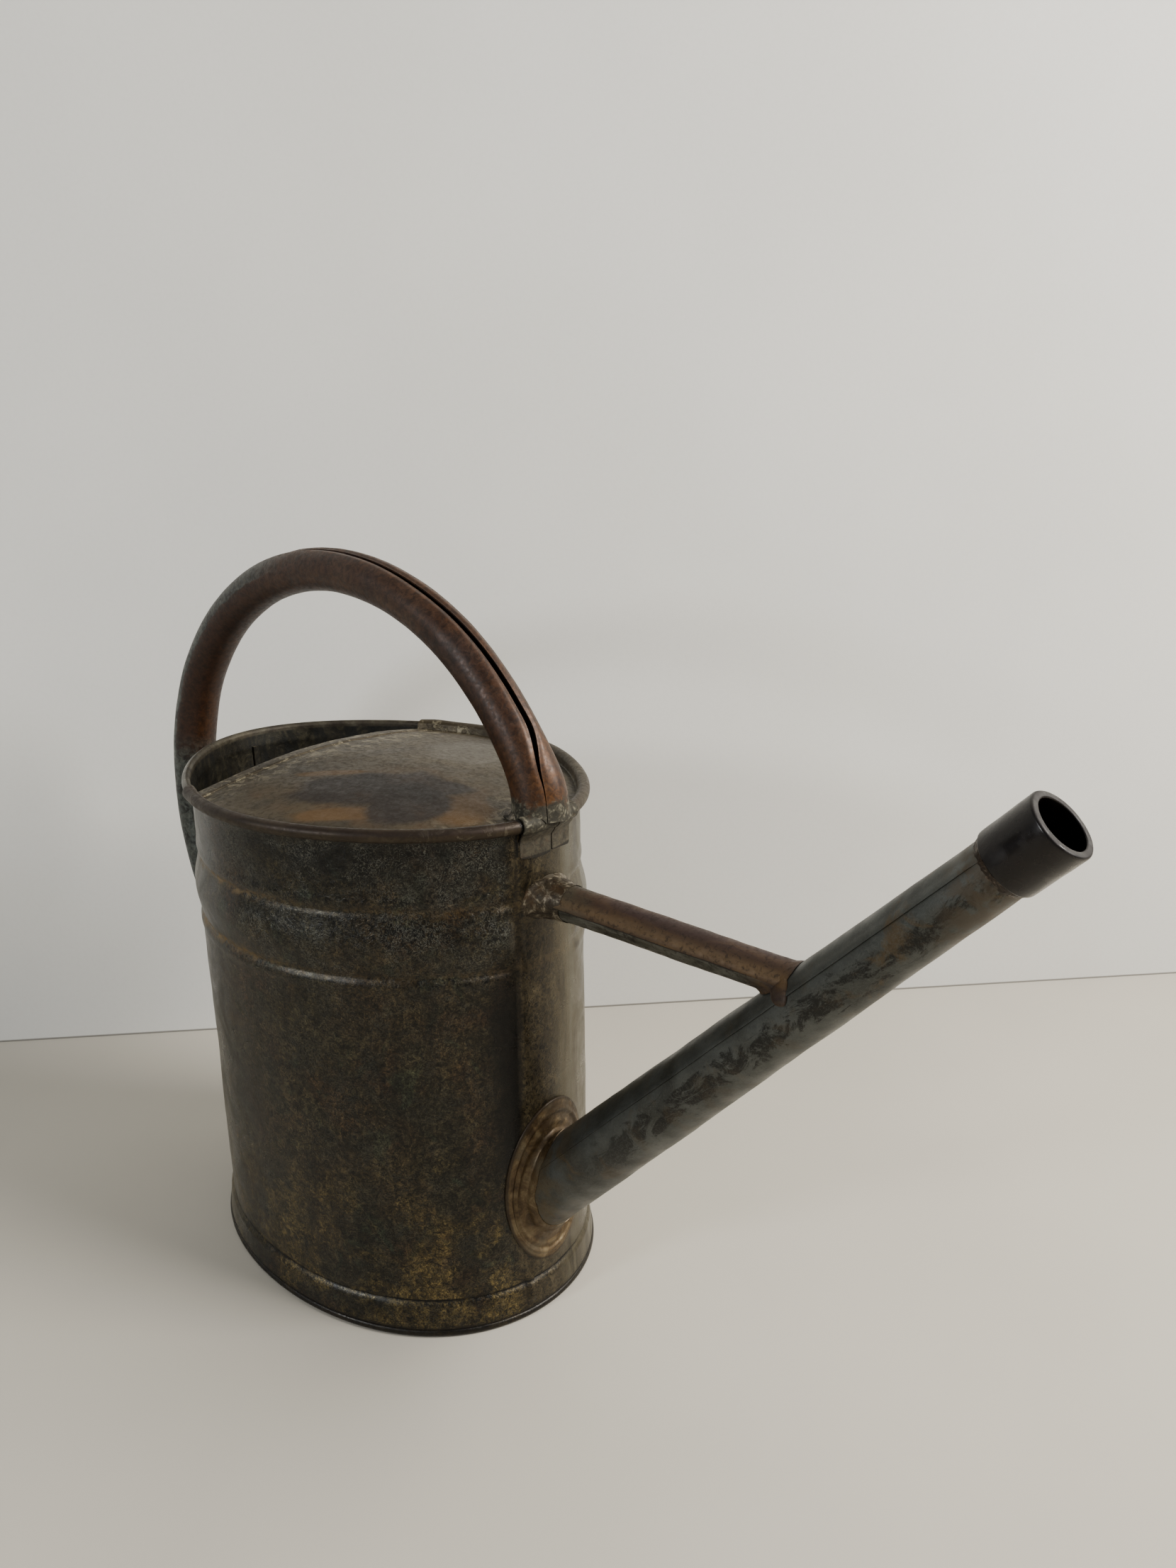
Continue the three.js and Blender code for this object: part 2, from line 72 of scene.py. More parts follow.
def oval_halves(node, curl):
    """Half length and half width of the tank's oval where a wire runs in its curl."""
    low, high = corners(node)
    reach = curl["offset"] + curl["radius"] - WIRE_SLACK
    return (high[:2] - low[:2]) / 2 - reach


BASE_HALF = oval_halves("foot_wire", FOOT_CURL)
RIM_HALF = oval_halves("rim_wire", RIM_CURL)
FOOT_LOW, FOOT_HIGH = corners("foot_wire")
TANK_X = (FOOT_LOW[0] + FOOT_HIGH[0]) / 2


def lerp(a, b, t):
    return a + (b - a) * t


def smoothstep(low, high, value):
    t = np.clip((value - low) / (high - low), 0, 1)
    return t * t * (3 - 2 * t)


def ridge(value, middle, width):
    """1 on the line and falling to nothing on both sides of it."""
    return np.exp(-(((value - middle) / width) ** 2))


def outline(angle, z):
    t = z / RIM_HEIGHT
    pinch = 1 - lerp(BASE_PINCH, RIM_PINCH, t) * np.sin(2 * angle) ** 2
    x = lerp(BASE_HALF[0], RIM_HALF[0], t) * np.cos(angle) * pinch + RIM_SHIFT * t
    y = lerp(BASE_HALF[1], RIM_HALF[1], t) * np.sin(angle) * pinch
    return x, y


def on_wall(angle, offset, z):
    """Points at a distance outside the tank's oval. All three may be arrays."""
    angle, offset, z = np.broadcast_arrays(*(np.asarray(v, float) for v in (angle, offset, z)))
    nudge = 1e-3
    x, y = outline(angle, z)
    ahead = outline(angle + nudge, z)
    behind = outline(angle - nudge, z)
    along_x, along_y = ahead[0] - behind[0], ahead[1] - behind[1]
    length = np.hypot(along_x, along_y)
    return np.stack([x + along_y / length * offset, y - along_x / length * offset, z], -1)


def angle_at(y, z):
    """The angle on the tank's front half where its wall is at this y."""
    angles = np.linspace(-math.pi / 2, math.pi / 2, 721)
    return np.interp(y, outline(angles, z)[1], angles)


def rough(points, size, seed, octaves=3):
    """Smooth noise of about -1 to 1 at points, with features of a size in millimetres."""
    flat = np.asarray(points, float).reshape(-1, 3) / size + seed * 17.31
    values = [noise.fractal(Vector(p), 1.0, 2.0, octaves) for p in flat]
    return np.array(values).reshape(np.asarray(points).shape[:-1])


def inside_out(points):
    """The angle round the tank of each point and how far it stands outside the wall's outer face."""
    x, y, z = np.moveaxis(np.asarray(points, float), -1, 0)
    t = z / RIM_HEIGHT
    shift = RIM_SHIFT * t
    half_x, half_y = (lerp(BASE_HALF[i], RIM_HALF[i], t) for i in (0, 1))
    angle = np.arctan2(y / half_y, (x - shift) / half_x)
    oval_x, oval_y = outline(angle, z)
    distance = np.hypot(x - shift, y) - np.hypot(oval_x - shift, oval_y)
    return angle, distance - wall_face(angle, z)


# ---------------------------------------------------------------- meshes
def make_object(name, points, faces, material, sharp=35):
    mesh = bpy.data.meshes.new(name)
    placed = (np.asarray(points, float).reshape(-1, 3) + [TANK_X, 0, 0]) * MM
    mesh.from_pydata(placed.tolist(), [], faces)
    mesh.update()
    work = bmesh.new()
    work.from_mesh(mesh)
    bmesh.ops.remove_doubles(work, verts=work.verts, dist=2e-6)
    bmesh.ops.recalc_face_normals(work, faces=work.faces)
    work.to_mesh(mesh)
    work.free()
    mesh.polygons.foreach_set("use_smooth", [True] * len(mesh.polygons))
    mesh.set_sharp_from_angle(angle=math.radians(sharp))
    mesh.materials.append(material)
    piece = bpy.data.objects.new(name, mesh)
    bpy.context.scene.collection.objects.link(piece)
    return piece


def grid_faces(rows, columns, close_rows=False, close_columns=False, start=0):
    faces = []
    for i in range(rows if close_rows else rows - 1):
        for j in range(columns if close_columns else columns - 1):
            a = start + i * columns + j
            b = start + i * columns + (j + 1) % columns
            c = start + (i + 1) % rows * columns + (j + 1) % columns
            d = start + (i + 1) % rows * columns + j
            faces.append((a, b, c, d))
    return faces


def skin(name, rings, material, closed=False, caps=True, sharp=35):
    """A closed body through rings of points, each ring a closed outline."""
    rings = np.asarray(rings)
    rows, columns = rings.shape[:2]
    faces = grid_faces(rows, columns, close_rows=closed, close_columns=True)
    if caps and not closed:
        faces.append(tuple(range(columns)))
        faces.append(tuple(range((rows - 1) * columns, rows * columns)))
    return make_object(name, rings, faces, material, sharp)


def join(name, pieces):
    """One object holding several meshes."""
    work = bmesh.new()
    for piece in pieces:
        work.from_mesh(piece.data)
    mesh = pieces[0].data
    work.to_mesh(mesh)
    work.free()
    for piece in pieces[1:]:
        bpy.data.objects.remove(piece)
    pieces[0].name = name
    return pieces[0]


def thicken(path, thickness):
    """Gives a path of (offset, height) points a thickness, as a closed outline."""
    path = np.asarray(path, float)
    step = np.gradient(path, axis=0)
    step /= np.linalg.norm(step, axis=1, keepdims=True)
    side = np.stack([-step[:, 1], step[:, 0]], -1) * thickness / 2
    return np.concatenate([path + side, (path - side)[::-1]])


def arc(curl, radius, start, end, step=15):
    angles = np.radians(np.linspace(start, end, int(abs(end - start) / step) + 1))
    return np.stack([curl["offset"] + radius * np.cos(angles), curl["height"] + radius * np.sin(angles)], -1)


def finish_piece(piece, slot, *nodes):
    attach(piece, "root")
    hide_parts(*nodes)
    return piece


# ---------------------------------------------------------------- materials
class Value:
    """A node's output. Arithmetic and the methods here add nodes that take it in."""

    def __init__(self, look, socket):
        self.look, self.socket = look, socket

    def __add__(self, other):
        return self.look.maths("ADD", self, other)

    def __sub__(self, other):
        return self.look.maths("SUBTRACT", self, other)

    def __rsub__(self, other):
        return self.look.maths("SUBTRACT", other, self)

    def __mul__(self, other):
        return self.look.maths("MULTIPLY", self, other)

    def __truediv__(self, other):
        return self.look.maths("DIVIDE", self, other)

    def __abs__(self):
        return self.look.maths("ABSOLUTE", self)

    def ramp(self, low, high, to_low=0.0, to_high=1.0):
        """Goes smoothly from to_low to to_high while this value goes from low to high."""
        inputs = {"Value": self, "From Min": low, "From Max": high, "To Min": to_low, "To Max": to_high}
        return self.look.output("ShaderNodeMapRange", inputs, "Result", interpolation_type="SMOOTHSTEP")

    def band(self, middle, width):
        """1 on a line and falling to 0 at a width from it."""
        return abs(self - middle).ramp(0.0, width, 1.0, 0.0)

    def stops(self, *stops):
        """The colour that stands at this value, from places and colours along a scale."""
        node = self.look.add("ShaderNodeValToRGB", {0: self})
        ramp = node.color_ramp
        while len(ramp.elements) < len(stops):
            ramp.elements.new(0.5)
        for element, (place, colour) in zip(ramp.elements, stops):
            element.position = place
            element.color = (*colour, 1)
        return Value(self.look, node.outputs[0])

    def coat(self, amount, colour):
        """This colour with some of another over it."""
        return self.look.mix(amount, self, colour)

    def shade(self, amount):
        """This colour made darker or lighter."""
        return self.look.output("ShaderNodeVectorMath", {0: self, 3: amount}, operation="SCALE")


class Look:
    """Builds one material's nodes, with lengths in millimetres from the tank's middle."""

    def __init__(self, name):
        self.material = bpy.data.materials.new(name)
        self.material.use_nodes = True
        self.nodes = self.material.node_tree.nodes
        self.shader = self.nodes["Principled BSDF"]
        self.position = self.output("ShaderNodeTexCoord", {}, "Object")

    def add(self, kind, inputs, **settings):
        node = self.nodes.new(kind)
        for key, value in settings.items():
            setattr(node, key, value)
        for key, value in inputs.items():
            self.set(node, key, value)
        return node

    def set(self, node, key, value):
        socket = node.inputs[key]
        if isinstance(value, Value):
            self.material.node_tree.links.new(value.socket, socket)
        elif isinstance(value, tuple) and len(value) < len(socket.default_value):
            socket.default_value = (*value, 1)
        else:
            socket.default_value = value

    def output(self, kind, inputs, key=0, **settings):
        return Value(self, self.add(kind, inputs, **settings).outputs[key])

    def maths(self, operation, a, b=0.0):
        return self.output("ShaderNodeMath", {0: a, 1: b}, operation=operation)

    def vector(self, operation, a, b, key=0):
        b = b if isinstance(b, Value) else tuple(b)
        return self.output("ShaderNodeVectorMath", {0: a, 1: b}, key, operation=operation)

    def parts(self, vector):
        return [Value(self, part) for part in self.add("ShaderNodeSeparateXYZ", {0: vector}).outputs]

    @cached_property
    def x(self):
        return (self.parts(self.position)[0] - TANK_X * MM) * (1 / MM)

    @cached_property
    def y(self):
        return self.parts(self.position)[1] * (1 / MM)

    @cached_property
    def height(self):
        return self.parts(self.position)[2] * (1 / MM)

    @cached_property
    def normal(self):
        return self.output("ShaderNodeNewGeometry", {}, "Normal")

    def facing(self, direction):
        """1 where the surface faces a direction and -1 where it faces away."""
        return self.vector("DOT_PRODUCT", self.normal, direction, "Value")

    def around(self):
        """The angle round the tank from the spout, in degrees."""
        return self.maths("DEGREES", self.maths("ARCTAN2", self.y, self.x))

    def inside(self):
        """1 on the tank's inner faces and 0 on its outer ones."""
        out = self.vector("SUBTRACT", self.position, (TANK_X * MM, 0, 0))
        facing = self.facing(self.vector("MULTIPLY", out, (1, 1, 0)))
        return self.maths("LESS_THAN", facing, 0.0)

    def stretched(self, x, y, z):
        return self.vector("MULTIPLY", self.position, (x, y, z))

    def noise(self, size, detail=4.0, roughness=0.5, distortion=0.0, where=None):
        """Cloudy noise from 0 to 1 with features of a size."""
        inputs = {
            "Vector": self.position if where is None else where, "Scale": 1 / (size * MM),
            "Detail": detail, "Roughness": roughness, "Distortion": distortion,
        }
        return self.output("ShaderNodeTexNoise", inputs, "Fac")

    def worms(self, size, width, distortion=2.0):
        """Fine curling strokes: 1 along them and 0 between."""
        return self.noise(size, 2.0, 0.5, distortion).band(0.5, width)

    def mix(self, amount, a, b, blend="MIX"):
        return self.output("ShaderNodeMix", {0: amount, 6: a, 7: b}, 2, data_type="RGBA", blend_type=blend)

    def finish(self, colour, roughness, metallic, bump, distance, strength, tint=(1, 1, 1), gloss=0.5):
        self.set(self.shader, "Base Color", self.mix(1.0, colour, tint, "MULTIPLY"))
        self.set(self.shader, "Specular IOR Level", gloss)
        self.set(self.shader, "Roughness", roughness)
        self.set(self.shader, "Metallic", metallic)
        inputs = {"Height": bump, "Distance": distance * MM, "Strength": strength}
        self.set(self.shader, "Normal", self.output("ShaderNodeBump", inputs, "Normal"))
        return self.material


CREASES = (219.0, 255.0)
FOOT_CREASE = 21.0
FRONT_SEAM = -9.0
POOL_WAY = (0.759, 0.651)


def aged_zinc():
    """The tank's walls: dark olive zinc with fine bright crystals, stains and rusty creases."""
    look = Look("aged_zinc")
    angle, height, inside = look.around(), look.height, look.inside()
    clouds = look.noise(60, 4, 0.6)
    patches = look.noise(24, 5, 0.65, 0.8)
    fleck = look.noise(2.8, 5, 0.8, 1.2)
    speck = look.noise(0.9, 3, 0.7, 0.4)

    colour = clouds.stops(
        (0.34, (0.03, 0.026, 0.014)), (0.46, (0.044, 0.039, 0.025)), (0.56, (0.052, 0.038, 0.022)),
        (0.68, (0.034, 0.034, 0.025)),
    )
    brown = look.noise(36, 4, 0.6, 0.5).ramp(0.5, 0.64)
    colour = colour.coat(brown * 0.7, (0.06, 0.032, 0.017))
    green = look.noise(19, 3, 0.5, 1.0).ramp(0.56, 0.7)
    colour = colour.coat(green * 0.7, (0.026, 0.042, 0.029))
    upper = height.ramp(190, 250)
    blue = look.noise(28, 4, 0.55, 0.5).ramp(0.49, 0.64) * (upper * 0.7 + 0.15)
    colour = colour.coat(blue * 0.7, (0.038, 0.046, 0.051))
    low = height.ramp(130, 30)
    ochre = (low + 0.15) * look.noise(27, 5, 0.6, 0.4).ramp(0.42, 0.6)
    colour = colour.coat(ochre * 0.75, (0.165, 0.12, 0.046))
    under_rim = height.ramp(258, 284) * look.noise(45, 3, 0.5).ramp(0.28, 0.52)
    colour = colour.coat(under_rim * 0.8, (0.009, 0.009, 0.008))
    runs = look.noise(11, 4, 0.6, 0.3, look.stretched(1, 1, 0.22))
    colour = colour.shade(runs.ramp(0.34, 0.64, 0.78, 1.2))
    mottle = look.noise(7, 5, 0.7, 1.4)
    colour = colour.shade(mottle.ramp(0.36, 0.64, 0.45, 1.55))

    # Crystals: dark and light flecks all over, with bright strokes among them near the top.
    colour = colour.shade(fleck.ramp(0.37, 0.64, 0.1, 2.3))
    colour = colour.shade(speck.ramp(0.32, 0.68, 0.5, 1.55))
    strokes = look.worms(3.6, 0.06, 2.6)
    dark_strokes = look.worms(5.0, 0.055, 3.0)
    amount = patches.ramp(0.38, 0.62) * (upper * 0.7 + 0.3)
    colour = colour.coat(strokes * amount * 0.8, (0.34, 0.34, 0.31))
    colour = colour.coat(dark_strokes * (amount + 0.25) * 0.85, (0.004, 0.004, 0.003))

    # Tan stains come round from the back, and over them a painted reflection of the pale floor and wall
    # lightens that side.
    streaks = look.noise(8, 5, 0.65, 0.5, look.stretched(1, 1, 0.1))
    back = angle.ramp(-108, -150)
    stain_and_reflection = streaks.ramp(0.36, 0.64) * 0.65 + 0.3
    colour = colour.coat(back * stain_and_reflection, (0.5, 0.43, 0.3))

    # The flux-stained zone over the spout, with painted shade dark along one edge. It is paler towards the
    # far side, partly from tan stains and partly from a painted reflection and painted light on the side that
    # faces the lamp.
    zone = angle.ramp(-12.5, -9.5)
    zone_colour = look.noise(13, 5, 0.7, 0.8, look.stretched(1, 1, 0.35)).stops(
        (0.34, (0.026, 0.018, 0.008)), (0.5, (0.066, 0.049, 0.025)), (0.64, (0.125, 0.098, 0.058)),
    )
    zone_colour = zone_colour.shade(fleck.ramp(0.36, 0.62, 0.1, 2.1))
    # Painted reflection: a paler grey-beige streak over the stains towards +X.
    zone_colour = zone_colour.coat(
        angle.ramp(-2, 9),
        streaks.stops((0.36, (0.09, 0.072, 0.042)), (0.5, (0.2, 0.165, 0.1)), (0.62, (0.24, 0.22, 0.165))),
    )
    # Painted light: the far side, which faces the lamp, is painted paler over its stains.
    far = angle.ramp(16, 42)
    colour = colour.coat(zone * angle.ramp(60, 40), zone_colour)
    colour = colour.coat(far * 0.6, streaks.stops((0.36, (0.11, 0.095, 0.062)), (0.6, (0.21, 0.19, 0.145))))
    # Painted shade: a near-black band down the zone's near edge, standing for a dark reflection where the
    # wall turns from the light.
    blur = (look.noise(16, 4, 0.6) - 0.5) * 9.0
    shadow_across = (angle + blur).ramp(-22, -12.5) * angle.ramp(-8.4, -10.4)
    shadow_height = (height + blur * 3.0).ramp(246, 190) * height.ramp(66, 118)
    colour = colour.coat(shadow_across * shadow_height * 0.93, (0.003, 0.002, 0.001))
    seam = angle.band(FRONT_SEAM - 0.4, 0.5)
    colour = colour.coat(seam * (look.noise(14, 3) * 0.9), (0.02, 0.014, 0.008))

    # Rust along the pressed creases, painted shade in the foot's crease, and the wall darker towards the
    # foot.
    wander = (look.noise(13, 3) - 0.5) * 8.0
    line_height = height + wander
    lines = look.maths("MAXIMUM", line_height.band(CREASES[0] + 0.5, 4.8), line_height.band(CREASES[1], 4.0))
    rusty = angle.ramp(-60, -104, 0.2, 1.0)
    grains = look.noise(3.6, 5, 0.75).ramp(0.4, 0.6)
    rust = lines * rusty * grains
    colour = colour.coat(rust * 0.95, (0.37, 0.225, 0.065))
    # Painted shade: a broken near-black line along the foot's crease.
    shade_line = (height + wander * 0.15).band(FOOT_CREASE + 1.0, 1.6)
    broken = look.noise(24, 3).ramp(0.35, 0.6, 0.25, 1.0)
    colour = colour.coat(shade_line * broken, (0.008, 0.009, 0.011))
    foot = height.ramp(7.0, 4.8)
    colour = colour.coat(foot * 0.85, (0.018, 0.013, 0.01))
    rim_tone = look.noise(9, 5, 0.6).stops(
        (0.36, (0.05, 0.034, 0.022)), (0.52, (0.12, 0.098, 0.066)), (0.66, (0.2, 0.18, 0.135)),
    )
    rim = height.ramp(292.6, 294.2)
    colour = colour.coat(rim * 0.85, rim_tone)

    # The inside is duller, with dark runs down from the rim.
    runs_in = look.noise(13, 5, 0.7, 0.8, look.stretched(1, 1, 0.25)).ramp(0.44, 0.6)
    inner = look.noise(8, 5, 0.7, 1.0).stops(
        (0.36, (0.014, 0.011, 0.005)), (0.5, (0.05, 0.042, 0.024)), (0.62, (0.11, 0.096, 0.06)),
    )
    inner = inner.coat(runs_in * 0.8, (0.01, 0.011, 0.009))
    colour = colour.coat(inside * height.ramp(296.5, 295.0), inner)

    # Painted shadow: a near-black line on the wall beside the near tab.
    tab_shadow = look.y.band(-19.8, 1.3) * height.ramp(280, 281)
    colour = colour.coat(tab_shadow * look.x.ramp(0, 20), (0.002, 0.002, 0.001))
    roughness = patches.ramp(0.3, 0.7, 0.25, 0.42) + rust * 0.2 + inside * 0.2
    metallic = 0.55 - rust * 0.45
    bump = strokes * 0.35 + fleck * 0.9 + look.noise(9, 3) * 0.9
    return look.finish(colour, roughness, metallic, bump, 0.16, 0.55, tint=(0.3, 0.295, 0.26), gloss=0.5)


def deck_zinc():
    """The half cover: beige zinc with a dark rust pool ringed with orange, and pale scale at its edges."""
    look = Look("deck_zinc")
    x, y, height = look.x, look.y, look.height
    wobble = (look.noise(30, 4, 0.55, 0.6) - 0.5) * 0.9

    along = x * POOL_WAY[0] + y * POOL_WAY[1]
    across = x * POOL_WAY[1] - y * POOL_WAY[0]

    def pool(centre_along, centre_across, half_along, half_across):
        """0 in the middle of an oval stain and 1 at its wavering edge."""
        one = (along - centre_along) * (1 / half_along)
        other = (across - centre_across) * (1 / half_across)
        square = one * one + other * other
        return look.maths("SQRT", square) + wobble

    speckle = look.noise(3.2, 4, 0.65, 0.6)
    ground = look.noise(30, 5, 0.6, 0.4).stops(
        (0.34, (0.105, 0.084, 0.048)), (0.5, (0.16, 0.126, 0.074)), (0.64, (0.215, 0.175, 0.108)),
    )
    ground = ground.coat(speckle.ramp(0.52, 0.62) * 0.6, (0.05, 0.04, 0.022))
    dirt = look.noise(15, 5, 0.7, 0.8).ramp(0.5, 0.62)
    ground = ground.coat(dirt * 0.55, (0.08, 0.066, 0.04))
    # Pale bare zinc towards the far side, with a painted reflection of the wall on it.
    bare_zinc_and_reflection = pool(48, -22, 30, 34).ramp(1.1, 0.6)
    ground = ground.coat(bare_zinc_and_reflection * 0.7, (0.33, 0.315, 0.29))
    scale = look.noise(6.5, 5, 0.7, 0.8).ramp(0.52, 0.58)
    chord = x.ramp(-16, -42)
    front = x.ramp(78, 106)
    edge = look.maths("MAXIMUM", chord, front * 0.75)
    ground = ground.coat(scale * edge * 0.9, (0.6, 0.555, 0.43))
    orange = look.maths("MINIMUM", pool(-12, 80, 30, 9), pool(-24, 25, 24, 5)).ramp(1.05, 0.65)
    orange = look.maths("MAXIMUM", orange, pool(52, 75, 20, 22).ramp(1.05, 0.55))
    ground = ground.coat(orange * 0.85, (0.36, 0.205, 0.068))
    near = look.maths(
        "MINIMUM", look.maths("MINIMUM", pool(0, 50, 50, 26), pool(24, 72, 25, 23)), pool(36, 48, 22, 11),
    )
    halo = near.band(1.08, 0.35) * look.noise(34, 3).ramp(0.36, 0.6)
    ground = ground.coat(halo * 0.6, (0.25, 0.14, 0.055))
    pool_colour = look.noise(20, 4, 0.6, 0.5).stops(
        (0.34, (0.03, 0.018, 0.014)), (0.55, (0.046, 0.028, 0.022)), (0.7, (0.085, 0.048, 0.028)),
    )
    colour = ground.coat(near.ramp(1.02, 0.74) * 0.95, pool_colour)
    colour = colour.coat(speckle.ramp(0.52, 0.74) * 0.15, (0.2, 0.14, 0.08))
    crown = height.ramp(297.0, 298.6)
    outer = look.noise(13, 4, 0.6).ramp(0.42, 0.62)
    rim_colour = look.mix(outer, (0.085, 0.054, 0.043), (0.125, 0.092, 0.068))
    rim_line = look.noise(2.4, 4, 0.6, 0.3, look.stretched(0.12, 0.12, 1)).ramp(0.4, 0.56)
    rim_colour = rim_colour.coat(rim_line * 0.55, (0.03, 0.018, 0.013))
    # Painted shadow: a near-black line across the rim's wrap beside the near tab.
    tab_shadow = y.band(-20.3, 1.6) * x.ramp(60, 80)
    wall_x = (x - RIM_SHIFT) * (1 / RIM_HALF[0])
    wall_y = y * (1 / RIM_HALF[1])
    reach = look.maths("SQRT", wall_x * wall_x + wall_y * wall_y)
    on_rim = reach.ramp(0.955, 0.985)
    far_side = y.ramp(-20, 30)
    rim_colour = rim_colour.coat(far_side * 0.6, (0.175, 0.145, 0.1))
    colour = colour.coat(on_rim * (crown * 0.3 + 0.6), rim_colour)
    colour = colour.coat(tab_shadow * on_rim, (0.004, 0.003, 0.002))
    roughness = speckle.ramp(0.3, 0.7, 0.4, 0.58)
    bump = speckle * 0.7 + scale * edge * 0.7 + look.noise(12, 3)
    return look.finish(colour, roughness, 0.45, bump, 0.2, 0.7, tint=(0.255, 0.235, 0.195), gloss=0.35)


def rusted_steel():
    """The handle: smooth brown rust with a purple sheen, orange at its feet, zinc left on its back."""
    look = Look("rusted_steel")
    x, height = look.x, look.height
    fine = look.noise(2.4, 4, 0.6, 0.4)
    colour = look.noise(34, 5, 0.6, 0.5).stops(
        (0.34, (0.086, 0.036, 0.018)), (0.5, (0.122, 0.052, 0.026)), (0.66, (0.15, 0.074, 0.044)),
    )
    purple = look.noise(24, 3, 0.5).ramp(0.5, 0.66)
    colour = colour.coat(purple * 0.45, (0.098, 0.062, 0.058))
    shaded = x.ramp(-60, -130)
    colour = colour.coat(shaded * 0.85, (0.07, 0.02, 0.006))
    facing_x, facing_y, facing_z = look.parts(look.normal)
    side = abs(facing_y)
    root = height.ramp(352, 306) * x.ramp(60, 100)
    orange = root * 0.85 + side.ramp(0.75, 0.25) * 0.28
    orange = orange * look.noise(16, 5, 0.6).ramp(0.3, 0.62)
    colour = colour.coat(orange * 0.85, (0.275, 0.11, 0.028))
    low_root = height + (look.noise(8, 5, 0.7) - 0.5) * 26.0
    grey_root = low_root.ramp(310, 304) * x.ramp(60, 90)
    colour = colour.coat(grey_root, (0.125, 0.112, 0.082))
    tabs = height.ramp(294, 291) * x.ramp(60, 90)
    colour = colour.coat(tabs * 0.85, (0.15, 0.128, 0.092))
    # Painted shade: a near-black line along the tabs' lower edge, where they meet the wall.
    tab_foot_shade = height.ramp(280.4, 279.4) * x.ramp(60, 90)
    colour = colour.coat(tab_foot_shade * 0.8, (0.01, 0.007, 0.004))
    crumbs = grey_root * height.ramp(292, 297) * look.noise(3.4, 4, 0.7, 0.8).ramp(0.53, 0.6)
    colour = colour.coat(crumbs * 0.8, (0.36, 0.335, 0.265))

    # Zinc is left along the outside of the rear limb.
    loop_x = x + 75.0
    loop_z = height - 270.0
    reach = look.maths("SQRT", loop_x * loop_x + loop_z * loop_z)
    out_x = loop_x / reach
    out_z = loop_z / reach
    outward = facing_x * out_x + facing_z * out_z
    wander = (look.noise(11, 4, 0.6) - 0.5) * 0.5
    outer = (outward + wander).ramp(0.06, 0.16)
    rear = x.ramp(-62, -112) * height.ramp(420, 330, 0.75, 1.0)
    lower = height.ramp(292, 262) * x.ramp(-150, -190)
    zinc = look.maths("MAXIMUM", outer * rear, lower)
    zinc_colour = look.noise(9, 4, 0.6, 1.2).stops(
        (0.4, (0.026, 0.03, 0.032)), (0.47, (0.125, 0.155, 0.155)), (0.62, (0.205, 0.235, 0.225)),
    )
    colour = colour.coat(zinc * 0.9, zinc_colour)
    colour = colour.coat(fine.ramp(0.54, 0.7) * 0.3, (0.19, 0.105, 0.062))
    grain = look.noise(3.4, 5, 0.75, 0.6)
    colour = colour.shade(grain.ramp(0.36, 0.64, 0.55, 1.45))
    roughness = fine.ramp(0.3, 0.7, 0.4, 0.56) + grey_root * 0.25
    bump = fine * 0.6 + look.noise(7, 3)
    return look.finish(colour, roughness, 0.35, bump, 0.12, 0.5, tint=(0.27, 0.265, 0.235), gloss=0.4)


def brace_rust():
    """The brace: ochre and brown rust in lengthwise bands, with grey solder at the tank end."""
    look = Look("brace_rust")
    x, height = look.x, look.height
    along = look.stretched(0.25, 1, 1)
    bands = look.noise(8, 4, 0.55, 0.4, along)
    fine = look.noise(2.4, 4, 0.62, 0.5)
    colour = bands.stops(
        (0.36, (0.07, 0.036, 0.028)), (0.48, (0.115, 0.065, 0.04)), (0.58, (0.205, 0.115, 0.048)),
        (0.7, (0.15, 0.09, 0.052)),
    )
    top = look.parts(look.normal)[2].ramp(0.25, 0.85)
    colour = colour.coat(top * 0.6, (0.085, 0.048, 0.044))
    foot = (x + (look.noise(12, 4) - 0.5) * 40.0).ramp(166, 146)
    colour = colour.coat(foot * 0.8, (0.15, 0.128, 0.088))
    ochre = height.band(BRACE_HEIGHT + 3.0, 5.0) * look.noise(13, 4, 0.6, 0.4, along).ramp(0.32, 0.52)
    colour = colour.coat(ochre * 0.75, (0.27, 0.16, 0.064))
    lower = height.ramp(BRACE_HEIGHT + 0.3, BRACE_HEIGHT - 0.7)
    grey = look.noise(6, 4, 0.6, 0.8, along).stops(
        (0.4, (0.03, 0.03, 0.024)), (0.52, (0.12, 0.12, 0.095)), (0.64, (0.22, 0.22, 0.19)),
    )
    colour = colour.coat(lower * x.ramp(268, 250, 0.15, 0.9), grey)
    edge_line = height.band(BRACE_HEIGHT - 0.2, 0.7)
    colour = colour.coat(edge_line * x.ramp(262, 250), (0.012, 0.008, 0.005))
    colour = colour.coat(fine.ramp(0.52, 0.66) * 0.6, (0.04, 0.026, 0.018))
    roughness = fine.ramp(0.3, 0.7, 0.45, 0.66)
    bump = fine + bands * 0.5
    return look.finish(colour, roughness, 0.3, bump, 0.16, 0.6, tint=(0.35, 0.345, 0.32), gloss=0.3)


